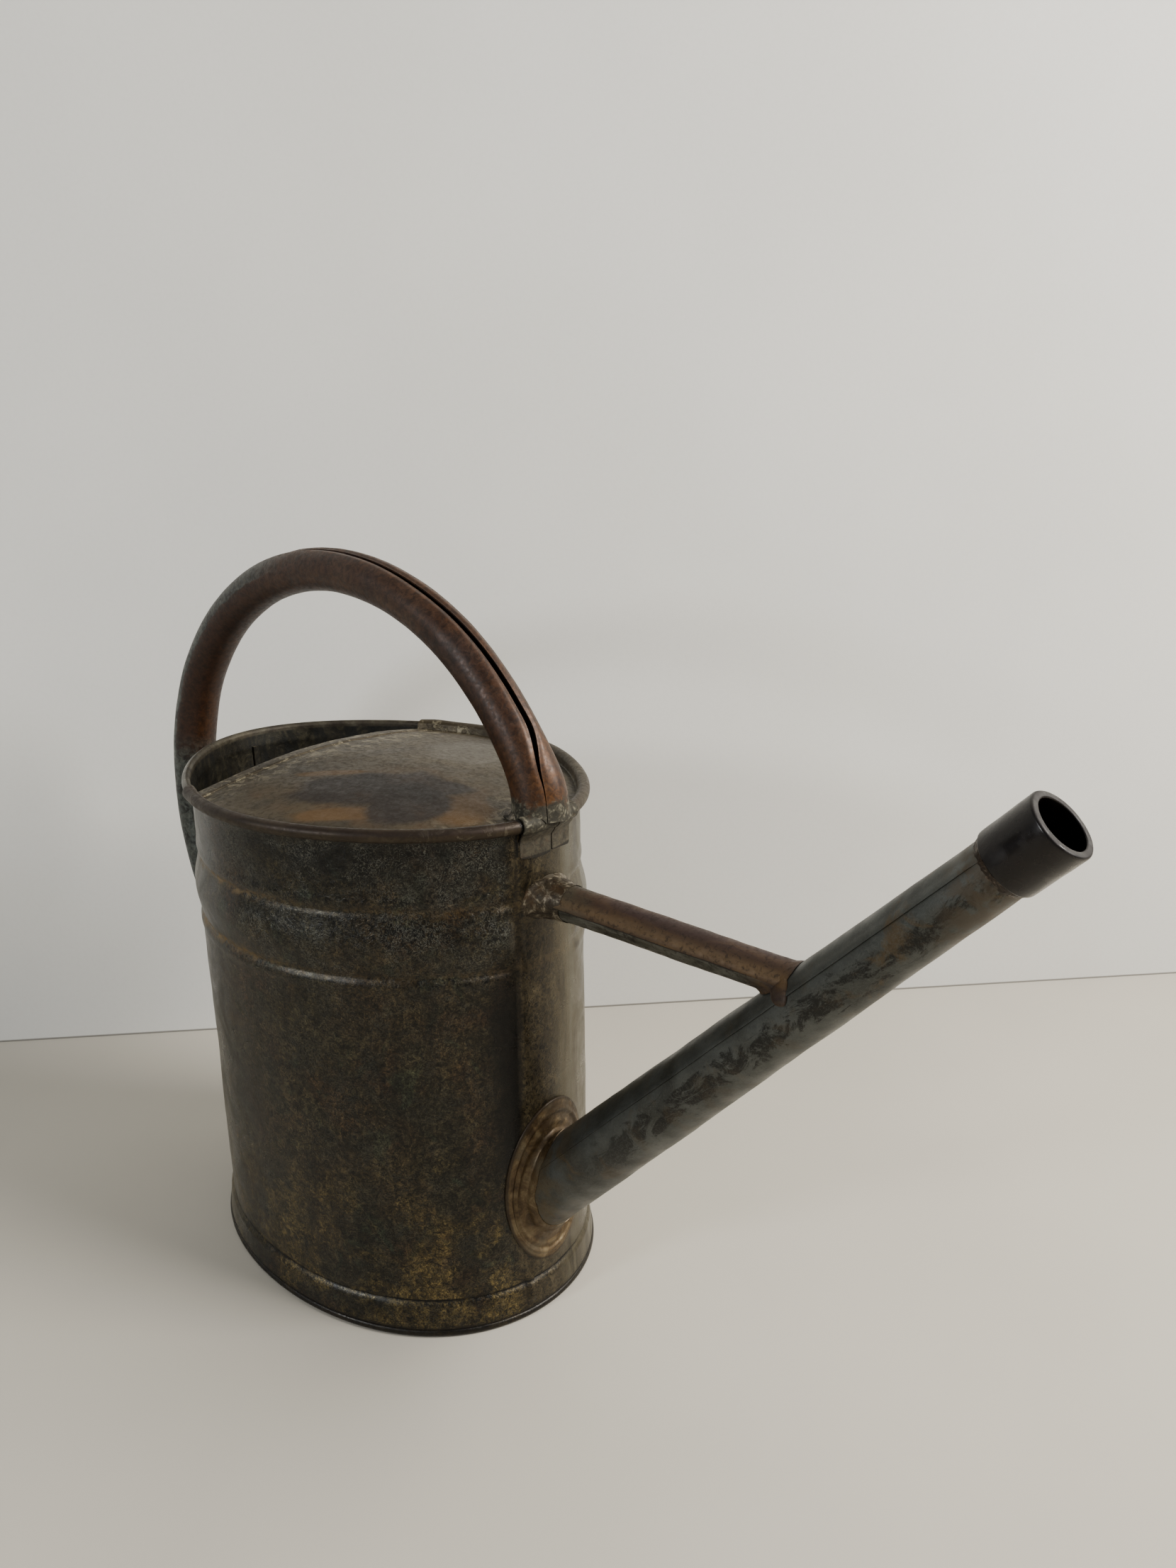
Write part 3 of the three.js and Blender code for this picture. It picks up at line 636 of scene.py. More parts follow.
def spout_zinc():
    """The spout: blue-grey zinc with black brushed blotches and ochre stains along its length."""
    look = Look("spout_zinc")
    x = look.x
    fine = look.noise(2.2, 4, 0.6, 0.6)
    colour = look.noise(26, 5, 0.6, 0.6).stops(
        (0.34, (0.078, 0.082, 0.074)), (0.5, (0.125, 0.135, 0.128)), (0.64, (0.165, 0.178, 0.172)),
    )
    from_foot = look.vector("SUBTRACT", look.position, (SPOUT_FOOT + [TANK_X, 0, 0]) * MM)
    turned = look.output(
        "ShaderNodeVectorRotate", {"Vector": from_foot, "Angle": SPOUT_ANGLE}, rotation_type="Y_AXIS",
    )
    lengthwise = look.vector("MULTIPLY", turned, (0.45, 1, 1))
    streak = look.noise(9, 6, 0.74, 1.0, lengthwise)
    lifted = look.facing(SPOUT_UP)
    middle = abs(lifted + 0.22).ramp(0.0, 0.75, 0.12, -0.07)
    streak = streak + middle
    blotch = streak.ramp(0.54, 0.64)
    colour = colour.coat(blotch * x.ramp(150, 215, 0.2, 0.93), (0.012, 0.012, 0.01))
    ochre = look.noise(21, 4, 0.62, 0.5).ramp(0.54, 0.66)
    ends = look.maths("MAXIMUM", x.ramp(200, 150, 0.3, 1.0), x.ramp(285, 330))
    colour = colour.coat(ochre * ends * 0.85, (0.175, 0.12, 0.058))
    root = x.ramp(172, 136) * look.noise(11, 4).ramp(0.32, 0.58)
    colour = colour.coat(root * 0.85, (0.19, 0.145, 0.082))
    colour = colour.coat(look.worms(3.6, 0.05) * 0.25, (0.26, 0.27, 0.255))
    colour = colour.coat(fine.ramp(0.56, 0.68) * 0.3, (0.05, 0.046, 0.036))
    tip = x.ramp(338, 352) * look.noise(6, 4).ramp(0.35, 0.55)
    colour = colour.coat(tip * 0.7, (0.15, 0.115, 0.078))
    roughness = look.noise(12, 3).ramp(0.3, 0.7, 0.34, 0.52)
    bump = fine + look.noise(10, 3) * 0.8
    return look.finish(colour, roughness, 0.55, bump, 0.14, 0.5, tint=(0.36, 0.355, 0.335), gloss=0.45)


def collar_zinc():
    """The spout's collar: ochre and brown flux stains over grey zinc, darker at the top and edge."""
    look = Look("collar_zinc")
    y, height = look.y, look.height
    fine = look.noise(2.6, 4, 0.65, 0.6)
    colour = look.noise(11, 5, 0.72, 0.8).stops(
        (0.36, (0.072, 0.048, 0.022)), (0.5, (0.16, 0.118, 0.066)), (0.62, (0.26, 0.22, 0.145)),
    )
    top = (height + y * 0.6).ramp(88, 108) * look.noise(10, 5, 0.7).ramp(0.36, 0.55)
    colour = colour.coat(top * 0.75, (0.035, 0.022, 0.01))
    grey = look.noise(24, 3).ramp(0.54, 0.66)
    colour = colour.coat(grey * 0.7, (0.15, 0.142, 0.115))
    dy = y * (1 / COLLAR["half_width"])
    dz = (height - COLLAR["height"]) * (1 / COLLAR["half_height"])
    reach = look.maths("SQRT", dy * dy + dz * dz)
    colour = colour.coat(reach.ramp(0.955, 0.99) * 0.8, (0.028, 0.02, 0.012))
    colour = colour.coat(fine.ramp(0.56, 0.7) * 0.35, (0.06, 0.042, 0.02))
    roughness = fine.ramp(0.3, 0.7, 0.4, 0.58)
    return look.finish(
        colour, roughness, 0.45, fine + look.noise(9, 3), 0.16, 0.55, tint=(0.5, 0.43, 0.33), gloss=0.35,
    )


def dark_steel():
    """The ferrule: near-black brown patina, worn lighter brown round its mouth."""
    look = Look("dark_steel")
    fine = look.noise(1.8, 4, 0.6, 0.4)
    colour = look.noise(14, 4, 0.6, 0.5).stops(
        (0.35, (0.02, 0.011, 0.009)), (0.55, (0.036, 0.02, 0.016)), (0.7, (0.062, 0.036, 0.026)),
    )
    end = look.facing(SPOUT_LINE)
    worn = end.ramp(0.45, 0.95) * look.noise(5, 4).ramp(0.32, 0.55)
    colour = colour.coat(worn * 0.85, (0.07, 0.043, 0.032))
    colour = colour.coat(fine.ramp(0.6, 0.72) * 0.4, (0.11, 0.06, 0.04))
    roughness = look.noise(8, 3).ramp(0.3, 0.7, 0.2, 0.38) + worn * 0.3
    return look.finish(
        colour, roughness, 0.35, fine + look.noise(6, 3), 0.1, 0.4, tint=(0.12, 0.12, 0.12), gloss=0.45,
    )


def solder_grey(name, tint):
    """Dull lumpy solder with brown dirt in its hollows."""
    look = Look(name)
    lumps = look.noise(4.5, 5, 0.7, 0.8)
    colour = lumps.stops((0.36, (0.05, 0.035, 0.02)), (0.52, (0.17, 0.15, 0.112)), (0.62, (0.72, 0.71, 0.65)))
    rust = look.noise(11, 4, 0.6).ramp(0.52, 0.66)
    colour = colour.coat(rust * 0.7, (0.17, 0.105, 0.05))
    roughness = lumps.ramp(0.3, 0.7, 0.62, 0.42)
    return look.finish(colour, roughness, 0.4, lumps + look.noise(1.6, 3), 0.3, 0.7, tint, 0.35)


def wire_steel():
    look = Look("wire_steel")
    drawn = look.noise(5, 4, 0.6, 0.4)
    colour = drawn.stops((0.35, (0.05, 0.032, 0.022)), (0.65, (0.11, 0.085, 0.065)))
    return look.finish(colour, drawn.ramp(0.3, 0.7, 0.4, 0.6), 0.7, drawn, 0.08, 0.4)


# ---------------------------------------------------------------- the tank's walls
UNDER_BEAD, OVER_BEAD = CREASES
SEAM = math.radians(FRONT_SEAM)


def wall_face(angle, z):
    """How far the wall's outer face stands outside the oval, with its foot band and pressed lines."""
    angle, z = np.broadcast_arrays(np.asarray(angle, float), np.asarray(z, float))
    press = smoothstep(9, 17, np.abs(np.degrees(angle)))
    face = np.clip(3.0 - 0.1 * (z - 5), 1.7, 3.0) * (1 - smoothstep(18, 22, z)) - 0.3 * ridge(z, 21.5, 0.8)
    bulge = np.sin(np.pi * np.clip((z - UNDER_BEAD) / (OVER_BEAD - UNDER_BEAD), 0, 1)) ** 2
    lips = 0.9 * ridge(z, UNDER_BEAD - 4.5, 3.5) + 0.6 * ridge(z, OVER_BEAD + 5, 3)
    grooves = ridge(z, UNDER_BEAD, 2.2) + 0.9 * ridge(z, OVER_BEAD, 2.2)
    face = face + press * (2.6 * bulge + lips - grooves)
    return face - 1.2 * smoothstep(215, 258, z) + 0.35 * ridge(z, 291, 0.8)


def wall_dents(angle, z):
    points = on_wall(angle, 0, z)
    fade = smoothstep(6, 20, z) * (1 - smoothstep(284, 291, z))
    return (0.5 * rough(points, 60, 1) + 0.12 * rough(points, 15, 2)) * fade


def seam_zone(z):
    """1 where the front seam's lap is open to view: above the collar and below it."""
    above = smoothstep(134, 142, z) * (1 - smoothstep(286, 290, z))
    return above + smoothstep(8, 12, z) * (1 - smoothstep(22, 28, z))


WALL_LEVELS = np.concatenate([
    np.linspace(5.6, 30, 42), np.arange(34, 206, 4), np.linspace(208, 268, 60), np.arange(270.5, 292, 1.7),
])
SHEET_SIDES = 170


def wall_rings(angles, near):
    """Sections of one wall sheet: the foot's roll, the pressed wall and the rim's curl."""
    foot = arc(FOOT_CURL, FOOT_CURL["radius"] - SHEET / 2, 105, 420)
    rim = arc(RIM_CURL, RIM_CURL["radius"] - SHEET / 2, 180, -120)
    rings = []
    for angle in angles:
        face = wall_face(angle, WALL_LEVELS) + wall_dents(angle, WALL_LEVELS)
        zone = seam_zone(WALL_LEVELS)
        if near:
            face = face + 0.95 * zone * smoothstep(-11.8, -11.1, math.degrees(angle))
        wall = np.stack([face - SHEET / 2, WALL_LEVELS], -1)
        section = thicken(np.concatenate([foot, wall, rim]), SHEET)
        turn = 0
        if not near:
            near_seam = 1 - smoothstep(-9, -5, math.degrees(angle))
            turn = math.radians(-1.5) * seam_zone(section[:, 1]) * near_seam
        rings.append(on_wall(angle + turn, section[:, 0], section[:, 1]))
    return rings


def build_walls(material):
    near = wall_rings(np.linspace(-math.pi, SEAM, SHEET_SIDES), near=True)
    far = wall_rings(np.linspace(SEAM, math.pi, SHEET_SIDES + 10), near=False)
    finish_piece(skin("near_sheet", near, material), "aged_zinc", "wall_near")
    finish_piece(skin("far_sheet", far, material), "aged_zinc", "wall_far")


def seam_strip(name, middle, low, high, material):
    """A folded seam running up the inside of the wall."""
    across = np.radians(np.linspace(-90, 270, 24, endpoint=False))
    rings = []
    for z in np.arange(low, high, 2.0):
        half = 3.4 + 0.25 * math.sin(z / 9)
        side = np.sign(np.cos(across)) * np.abs(np.cos(across)) ** 0.5 * half
        depth = np.sign(np.sin(across)) * np.abs(np.sin(across)) ** 0.8 * 0.65
        angle = middle + side / RIM_HALF[1 if abs(middle) < 2 else 0]
        face = wall_face(middle, z) + wall_dents(middle, np.array([z]))[0]
        rings.append(on_wall(angle, face - SHEET - 0.75 + depth, z))
    return skin(name, rings, material)


PLATE_REACH, PLATE_CORNER, PLATE_LEVEL = 88, -9.0, 18.8


def base_plate(material):
    """The tank's floor: a dished plate with a turned-down edge and one pressed ring."""
    inward = np.linspace(0, PLATE_REACH, 50)
    top = PLATE_LEVEL + 0.5 * ridge(inward, 16, 3) - 0.8 * (inward / PLATE_REACH) ** 2
    floor = np.stack([PLATE_CORNER - inward, top], -1)
    corner = np.array([
        [-2.8, 6.0], [-2.8, 9.0], [-2.8, 12.5], [-2.85, 15.5], [-3.3, 17.6], [-4.6, 18.7], [-6.5, 18.9],
    ])
    section = thicken(np.concatenate([corner, floor]), SHEET)
    rings = []
    for angle in np.linspace(-math.pi, math.pi, 240, endpoint=False):
        scale = np.clip(1 + (section[:, 0] - PLATE_CORNER) / PLATE_REACH, 0, 1)[:, None]
        rim = on_wall(angle, np.maximum(section[:, 0], PLATE_CORNER), section[:, 1])
        middle = section[:, 1:] * (0, 0, 1)
        rings.append(middle + (rim - middle) * scale)
    return skin("floor_plate", rings, material, closed=True)


# ---------------------------------------------------------------- the half cover
DECK_EDGE_X = -60.4
DECK_SKEW = math.radians(4.8)
DECK_LEVEL = 293.9
DECK_RISE = 11.0
DECK_CORNER = -3.4
DECK_REACH = 114.0
INWARD = np.array([math.cos(DECK_SKEW), math.sin(DECK_SKEW)])
CHORD = np.array([-INWARD[1], INWARD[0]])
WRAP_RADIUS = 3.15
NEAR_END, FAR_END = math.radians(-114), math.radians(119)
HEM_ENDS = (-97.5, 91.5)


def deck_wave(x, y):
    points = np.stack([x, y, np.zeros_like(x)], -1)
    return 0.7 * rough(points, 48, 3) + 0.12 * rough(points, 14, 4)


def deck_height(x, y):
    """The cover's height at a place, rising to its middle and falling to the rim."""
    x, y = np.asarray(x, float), np.asarray(y, float)
    points = np.stack([x, y, np.full_like(x, DECK_LEVEL)], -1)
    angle = inside_out(points)[0]
    oval_x, oval_y = outline(angle, DECK_LEVEL)
    reach = np.hypot(x - RIM_SHIFT, y) / (np.hypot(oval_x - RIM_SHIFT, oval_y) + DECK_CORNER)
    reach = np.clip(reach, 0, 1)
    return DECK_LEVEL + DECK_RISE * (1 - reach**2) + deck_wave(x, y) * smoothstep(0, 0.25, 1 - reach)


def on_deck(angle, offset, z):
    """As on_wall, but inside the cover's corner points draw in towards the oval's middle."""
    edge = on_wall(angle, np.maximum(offset, DECK_CORNER), z)
    scale = np.clip(1 + (offset - DECK_CORNER) / DECK_REACH, 0, 1)
    middle = np.stack([np.full_like(z, RIM_SHIFT), np.zeros_like(z), z], -1)
    points = middle + (edge - middle) * scale[..., None]
    points[..., 2] += deck_wave(points[..., 0], points[..., 1]) * smoothstep(0, 0.25, 1 - scale)
    return points


def build_deck(material):
    turn = np.array([[-2.35, 295.3], [-2.75, 294.4], [DECK_CORNER, DECK_LEVEL]])
    inner = DECK_CORNER - np.linspace(1.5, DECK_REACH, 60)
    scale = 1 + (inner - DECK_CORNER) / DECK_REACH
    dome = np.stack([inner, DECK_LEVEL + DECK_RISE * (1 - scale**2)], -1)
    rings = []
    for angle in np.linspace(-math.pi, math.pi, 300, endpoint=False):
        swell = 1.1 * ridge(angle, FAR_END - 0.06, 0.07) + 0.7 * ridge(angle, NEAR_END + 0.05, 0.05)
        swell += 0.15 * math.sin(9 * angle) * math.sin(4 * angle + 1)
        wrap = arc(RIM_CURL, WRAP_RADIUS + swell * 0.5, -75, 165, 12)
        section = thicken(np.concatenate([wrap, turn, dome]), SHEET)
        rings.append(on_deck(angle, section[:, 0], section[:, 1]))
    lid = skin("cover_lid", rings, material, closed=True)
    cut = bmesh.new()
    cut.from_mesh(lid.data)
    everything = [*cut.verts, *cut.edges, *cut.faces]
    place = Vector(((DECK_EDGE_X + TANK_X) * MM, 0, 0))
    cuts = bmesh.ops.bisect_plane(
        cut, geom=everything, plane_co=place, plane_no=(*INWARD, 0), clear_inner=True, dist=1e-7)
    edges = [part for part in cuts["geom_cut"] if isinstance(part, bmesh.types.BMEdge)]
    bmesh.ops.triangle_fill(cut, edges=edges, use_beauty=True)
    cut.to_mesh(lid.data)
    cut.free()
    lid.data.set_sharp_from_angle(angle=math.radians(35))
    finish_piece(join("cover", [lid, hem(material)]), "deck_zinc", "deck")


def hem(material):
    """The folded edge across the cover."""
    turns = np.radians(range(-90, 91, 15))
    fold = [(0.6 - 1.1 * math.cos(turn), 1.15 * math.sin(turn)) for turn in turns]
    top = [(2.5, 1.22), (5, 1.2), (7.5, 1.2), (9.2, 1.1), (9.9, 0.75), (10.1, 0.3)]
    section = np.array(fold + top + [(x, -h) for x, h in reversed(top)])
    rings = []
    for w in np.linspace(*HEM_ENDS, 150):
        middle = np.array([DECK_EDGE_X, 0]) + CHORD * w
        wander = 0.25 * math.sin(w / 13) + 0.15 * math.sin(w / 5.3 + 2)
        flat = middle + (section[:, :1] + wander) * INWARD
        z = deck_height(flat[:, 0], flat[:, 1]) + section[:, 1]
        lift = 0.5 * math.exp(-(((abs(w) - 96) / 6) ** 2))
        rings.append(np.column_stack([flat, z + lift]))
    return skin("cover_hem", rings, material)


# ---------------------------------------------------------------- the handle
HANDLE_POINTS = [
    (121, 288), (119.2, 313.9), (95.5, 351.6), (56.4, 385), (9.6, 404.5), (-45, 410),
    (-100, 398.6), (-149.2, 370.5), (-185.7, 329.8), (-205.2, 283.4), (-210.5, 239),
    (-204.8, 199.8), (-188, 162.6), (-158.6, 131.6), (-112, 111),
]
HANDLE_SHEET = 0.9
TAB_FOOT = 278.6
TAB_CORNER = 1.5
TAB_SPANS = ((-18.5, 1.6), (2.4, 18.6))
HANDLE_HALVES = (
    (0, 13.6), (26, 13.3), (72, 12.8), (120, 12.6), (172, 12.4), (225, 12.35), (282, 12.7),
    (338, 13.1), (394, 13.6), (445, 13.9), (800, 13.5),
)


def smooth_line(points, steps=40):
    """A smooth line through points, as close-set points and the lengths to them."""
    points = np.array(points, float)
    ends = np.vstack([2 * points[0] - points[1], points, 2 * points[-1] - points[-2]])
    line = []
    for p0, p1, p2, p3 in zip(ends, ends[1:], ends[2:], ends[3:]):
        d01, d12, d23 = (math.sqrt(np.linalg.norm(b - a)) for a, b in ((p0, p1), (p1, p2), (p2, p3)))
        m1 = ((p1 - p0) / d01 - (p2 - p0) / (d01 + d12) + (p2 - p1) / d12) * d12
        m2 = ((p2 - p1) / d12 - (p3 - p1) / (d12 + d23) + (p3 - p2) / d23) * d12
        t = np.linspace(0, 1, steps, endpoint=False)[:, None]
        line.append(p1 + m1 * t + (3 * (p2 - p1) - 2 * m1 - m2) * t**2 + (2 * (p1 - p2) + m1 + m2) * t**3)
    line = np.vstack([*line, points[-1:]])
    lengths = np.concatenate([[0], np.cumsum(np.linalg.norm(np.diff(line, axis=0), axis=1))])
    return line, lengths


HANDLE_LINE, HANDLE_LENGTHS = smooth_line(HANDLE_POINTS)
HANDLE_SLOPES = np.gradient(HANDLE_LINE, axis=0)
HANDLE_SLOPES /= np.linalg.norm(HANDLE_SLOPES, axis=1, keepdims=True)
HANDLE_END = HANDLE_LENGTHS[-1]


def slot_lean(along):
    """How far the slot's middle leans off the outside line, in degrees towards +Y."""
    at_root = -26.0 * (1 - smoothstep(28, 56, along))
    beyond_root = -11.5 * smoothstep(88, 160, along) * (1 - smoothstep(190, 320, along))
    return at_root - 1.5 + beyond_root


def handle_surface(turn, along, inset=0.0):
    """Points of the handle's tube. turn is measured from its outside line, along from its root."""
    turn, along = np.broadcast_arrays(np.asarray(turn, float), np.asarray(along, float))
    x, z, slope_x, slope_z = (
        np.interp(along, HANDLE_LENGTHS, values)
        for values in (*HANDLE_LINE.T, *HANDLE_SLOPES.T)
    )
    stations, halves = zip(*HANDLE_HALVES)
    radius = np.interp(along, stations, halves) - inset
    past_slot = np.degrees(turn) - slot_lean(along)
    spread = smoothstep(0, 45, past_slot) * (1 - smoothstep(75, 130, past_slot))
    radius = radius + 2.4 * (1 - smoothstep(14, 62, along)) ** 1.5 * spread
    out = radius * np.cos(turn)
    return np.stack([x + slope_z * out, radius * np.sin(turn), z - slope_x * out], -1)


def first_crossing(values, positions):
    """Where each column of values first passes zero, going along its positions."""
    values, positions = np.asarray(values), np.asarray(positions)
    below = values[:-1] * values[1:] <= 0
    first = below.argmax(axis=0)
    columns = np.arange(values.shape[1])
    a, b = values[first, columns], values[first + 1, columns]
    return lerp(positions[first], positions[first + 1], a / (a - b))


def meets(surface, clearance, turns, search, lift):
    """Where each line along a surface comes to a distance from another surface, within a search."""
    return first_crossing(clearance(surface(turns[None, :], search[:, None])) - lift, search)


def wall_clearance(points):
    """How far points stand outside the wall's outer face."""
    return inside_out(points)[1]


def rim_clearance(points):
    """How far points stand above the cover and its wrap over the rim."""
    x, y, z = np.moveaxis(points, -1, 0)
    outside = inside_out(np.stack([x, y, np.full_like(x, RIM_CURL["height"])], -1))[1] - 1.2
    outer = WRAP_RADIUS + SHEET / 2
    wrap = RIM_CURL["height"] + np.sqrt(np.clip(outer**2 - (outside - RIM_CURL["offset"]) ** 2, 0, None))
    return z - np.maximum(deck_height(x, y) + SHEET / 2, wrap)


def handle_roots(turns, lift):
    """Where each line along the handle comes clear of the cover by a distance."""
    return meets(handle_surface, rim_clearance, turns, np.linspace(0, 40, 161), lift)


def handle_feet(turns, lift):
    """Where each line along the handle comes down to a distance from the rear wall."""
    search = np.linspace(HANDLE_END - 60, HANDLE_END, 241)
    return meets(handle_surface, wall_clearance, turns, search, lift)


def build_handle(material):
    """The rolled tube with its open slot, and the tabs that clip it over the rim."""
    edge = np.linspace(0, 1, 10) ** 1.6 * 0.06
    shares = np.concatenate([edge, np.linspace(0.06, 0.94, 60)[1:-1], 1 - edge[::-1]])

    def turns(along):
        half = (0.2 + 1.9 * smoothstep(18, 54, along) - 0.9 * smoothstep(88, 200, along)) / 13
        return half + shares * (2 * math.pi - 2 * half) + math.radians(slot_lean(along))

    starts = handle_roots(turns(20.0), 0.5)
    ends = handle_feet(turns(300.0), 0.5)
    low, high = 40, HANDLE_END - 60
    skewed = 0.12
    rings = []
    for station in np.linspace(0, 1, 300):
        if station < skewed:
            along = lerp(starts, lerp(low, high, skewed), station / skewed)
        elif station > 1 - skewed:
            along = lerp(lerp(low, high, 1 - skewed), ends, (station - 1 + skewed) / skewed)
        else:
            along = np.full_like(starts, lerp(low, high, station))
        turn = turns(along.mean())
        lip = (1 - smoothstep(0, 0.035, np.minimum(shares, 1 - shares))) * smoothstep(10, 70, along)
        rise = np.clip(along - starts, 0, None)
        flare = 1.6 * np.exp(-rise / 4.5) * smoothstep(-0.5, 0.4, np.cos(turn))
        points = handle_surface(turn, along)
        inset = lip - flare - 0.25 * rough(points, 40, 5) - 0.08 * rough(points, 12, 6)
        outer = handle_surface(turn, along, inset)
        inner = handle_surface(turn, along, inset + HANDLE_SHEET)
        rings.append(np.concatenate([outer, inner[::-1]]))
    tube = skin("handle_tube", rings, material)
    tabs = [tab(low, high, material) for low, high in TAB_SPANS]
    finish_piece(join("handle_grip", [tube, *tabs]), "rusted_steel", "handle")


def tab(low, high, material):
    """A tab of the handle folded over the rim's wrap and down the wall."""
    rings = []
    for share in np.linspace(0, 1, 34):
        y = lerp(low, high, share)
        angle = float(angle_at(y, RIM_CURL["height"]))
        x = float(outline(angle, RIM_CURL["height"])[0])
        inner = [(u, float(deck_height(x + u, y)) + 1.35) for u in (-17, -14, -11, -8, -6)]
        from_end = min(share, 1 - share) * (high - low)
        corner = TAB_CORNER * (1 - math.sqrt(max(0, 1 - max(0, 1 - from_end / TAB_CORNER) ** 2)))
        foot = TAB_FOOT + corner + 0.6 * math.sin(y / 4.1)
        radius = 4.35 + 0.15 * math.sin(y / 3)
        over = arc(RIM_CURL, radius, 140, -72, 9)
        tail_z = np.linspace(over[-1][1] - 1.2, foot, 14)
        tail_u = lerp(over[-1][0], -0.35, smoothstep(0, 5, over[-1][1] - tail_z))
        path = np.concatenate([np.array(inner), over, np.stack([tail_u, tail_z], -1)])
        section = thicken(path, HANDLE_SHEET)
        rings.append(on_wall(angle, section[:, 0], section[:, 1]))
    return skin("tab", rings, material)


# ---------------------------------------------------------------- the spout
SPOUT_ANGLE = math.atan(1.0832)
SPOUT_LINE = np.array([math.cos(SPOUT_ANGLE), 0, math.sin(SPOUT_ANGLE)])
SPOUT_UP = np.array([-SPOUT_LINE[2], 0, SPOUT_LINE[0]])
SPOUT_FOOT = np.array([128.0, 0, 77.3])
SPOUT_FOOT_RADIUS = 20.9
SPOUT_TAPER = 0.0218
FERRULE_START, FERRULE_END = 345.8, 373.3
FERRULE_RADIUS, FERRULE_BORE = 15.2, 11.7
SPOUT_SEAM = math.radians(-62)
SIDE = np.array([0.0, 1.0, 0.0])


def spout_surface(turn, along, extra=0.0):
    """Points on the spout. turn is measured from its upper line towards +Y."""
    turn, along, extra = np.broadcast_arrays(*(np.asarray(v, float) for v in (turn, along, extra)))
    radius = SPOUT_FOOT_RADIUS - SPOUT_TAPER * along + extra
    around = np.cos(turn)[..., None] * SPOUT_UP + np.sin(turn)[..., None] * SIDE
    return SPOUT_FOOT + along[..., None] * SPOUT_LINE + radius[..., None] * around


def spout_clearance(points):
    """How far points stand outside the spout."""
    from_foot = np.asarray(points) - SPOUT_FOOT
    along = from_foot @ SPOUT_LINE
    across = np.linalg.norm(from_foot - along[..., None] * SPOUT_LINE, axis=-1)
    return across - (SPOUT_FOOT_RADIUS - SPOUT_TAPER * along)


def spout_start(turns, lift):
    """How far along the spout each of its lines comes out of the wall by a distance."""
    return meets(spout_surface, wall_clearance, turns, np.linspace(-60, 60, 481), lift)


def lapped(seam, past_seam, lift, fade):
    """Turns round a rolled tube from its seam, and how far its lap stands out at each."""
    turns = seam + np.concatenate(past_seam)
    return turns, lift * (1 - smoothstep(0.0, fade, turns - seam))


def build_spout(material):
    past_seam = [[0.0], np.linspace(0.002, 0.12, 8), np.linspace(0.16, 2 * math.pi - 0.002, 90)]
    turns, lap = lapped(SPOUT_SEAM, past_seam, 0.75, 0.34)
    starts = spout_start(turns, 0.4)
    end = FERRULE_START + 8
    outer, inner = [], []
    for share in np.linspace(0, 1, 170):
        along = lerp(starts, end, share)
        points = spout_surface(turns, along)
        sag = 0.35 * rough(points, 45, 7) + 0.1 * rough(points, 13, 8)
        sag = sag * smoothstep(0, 12, along - starts) * (1 - smoothstep(end - 22, end - 10, along))
        fade = smoothstep(2, 20, along - starts) * (1 - smoothstep(end - 16, end - 8, along))
        outer.append(spout_surface(turns, along, sag + lap * fade))
        inner.append(spout_surface(turns, along, sag - SHEET))
    tube = skin("spout_tube", outer + inner[::-1], material, closed=True)
    finish_piece(tube, "spout_zinc", "spout")


def build_ferrule(material):
    """The end socket, turned with soft edges and a plain bore."""
    def rounded(along, radius, size, start, end):
        angles = np.radians(np.linspace(start, end, 7))
        return [(along + size * math.cos(a), radius + size * math.sin(a)) for a in angles]
    r, start, end = FERRULE_RADIUS, FERRULE_START, FERRULE_END
    socket = SPOUT_FOOT_RADIUS - SPOUT_TAPER * start + 0.35
    profile = [(start, socket)]
    profile += rounded(start + 0.9, r - 0.9, 0.9, 180, 90)
    profile += [(start + 4, r + 0.05), (start + 9, r), (start + 14, r - 0.05)]
    profile += [(start + 19, r + 0.05), (end - 4, r)]
    profile += rounded(end - 1.3, r - 1.3, 1.3, 90, 0)
    profile += rounded(end - 0.7, FERRULE_BORE + 0.7, 0.7, 0, -90)
    profile += [(end - 6, FERRULE_BORE), (start + 12, FERRULE_BORE), (start + 11, socket)]
    turns = np.linspace(0, 2 * math.pi, 96, endpoint=False)
    rings = []
    for along, radius in profile:
        extra = radius - (SPOUT_FOOT_RADIUS - SPOUT_TAPER * along)
        uneven = 0.06 * rough(spout_surface(turns, along, extra), 9, 9)
        rings.append(spout_surface(turns, along, extra + uneven))
    piece = skin("end_ferrule", rings, material, closed=True)
    finish_piece(piece, "dark_steel", "ferrule")


COLLAR = {"half_width": 31.3, "half_height": 51.1, "height": 81.3, "thickness": 1.2}


def pad_point(y, z, offset):
    """Points at a distance outside the front wall's face."""
    angle = np.array([angle_at(*place) for place in zip(y, z)])
    return on_wall(angle, wall_face(angle, z) + offset, z)


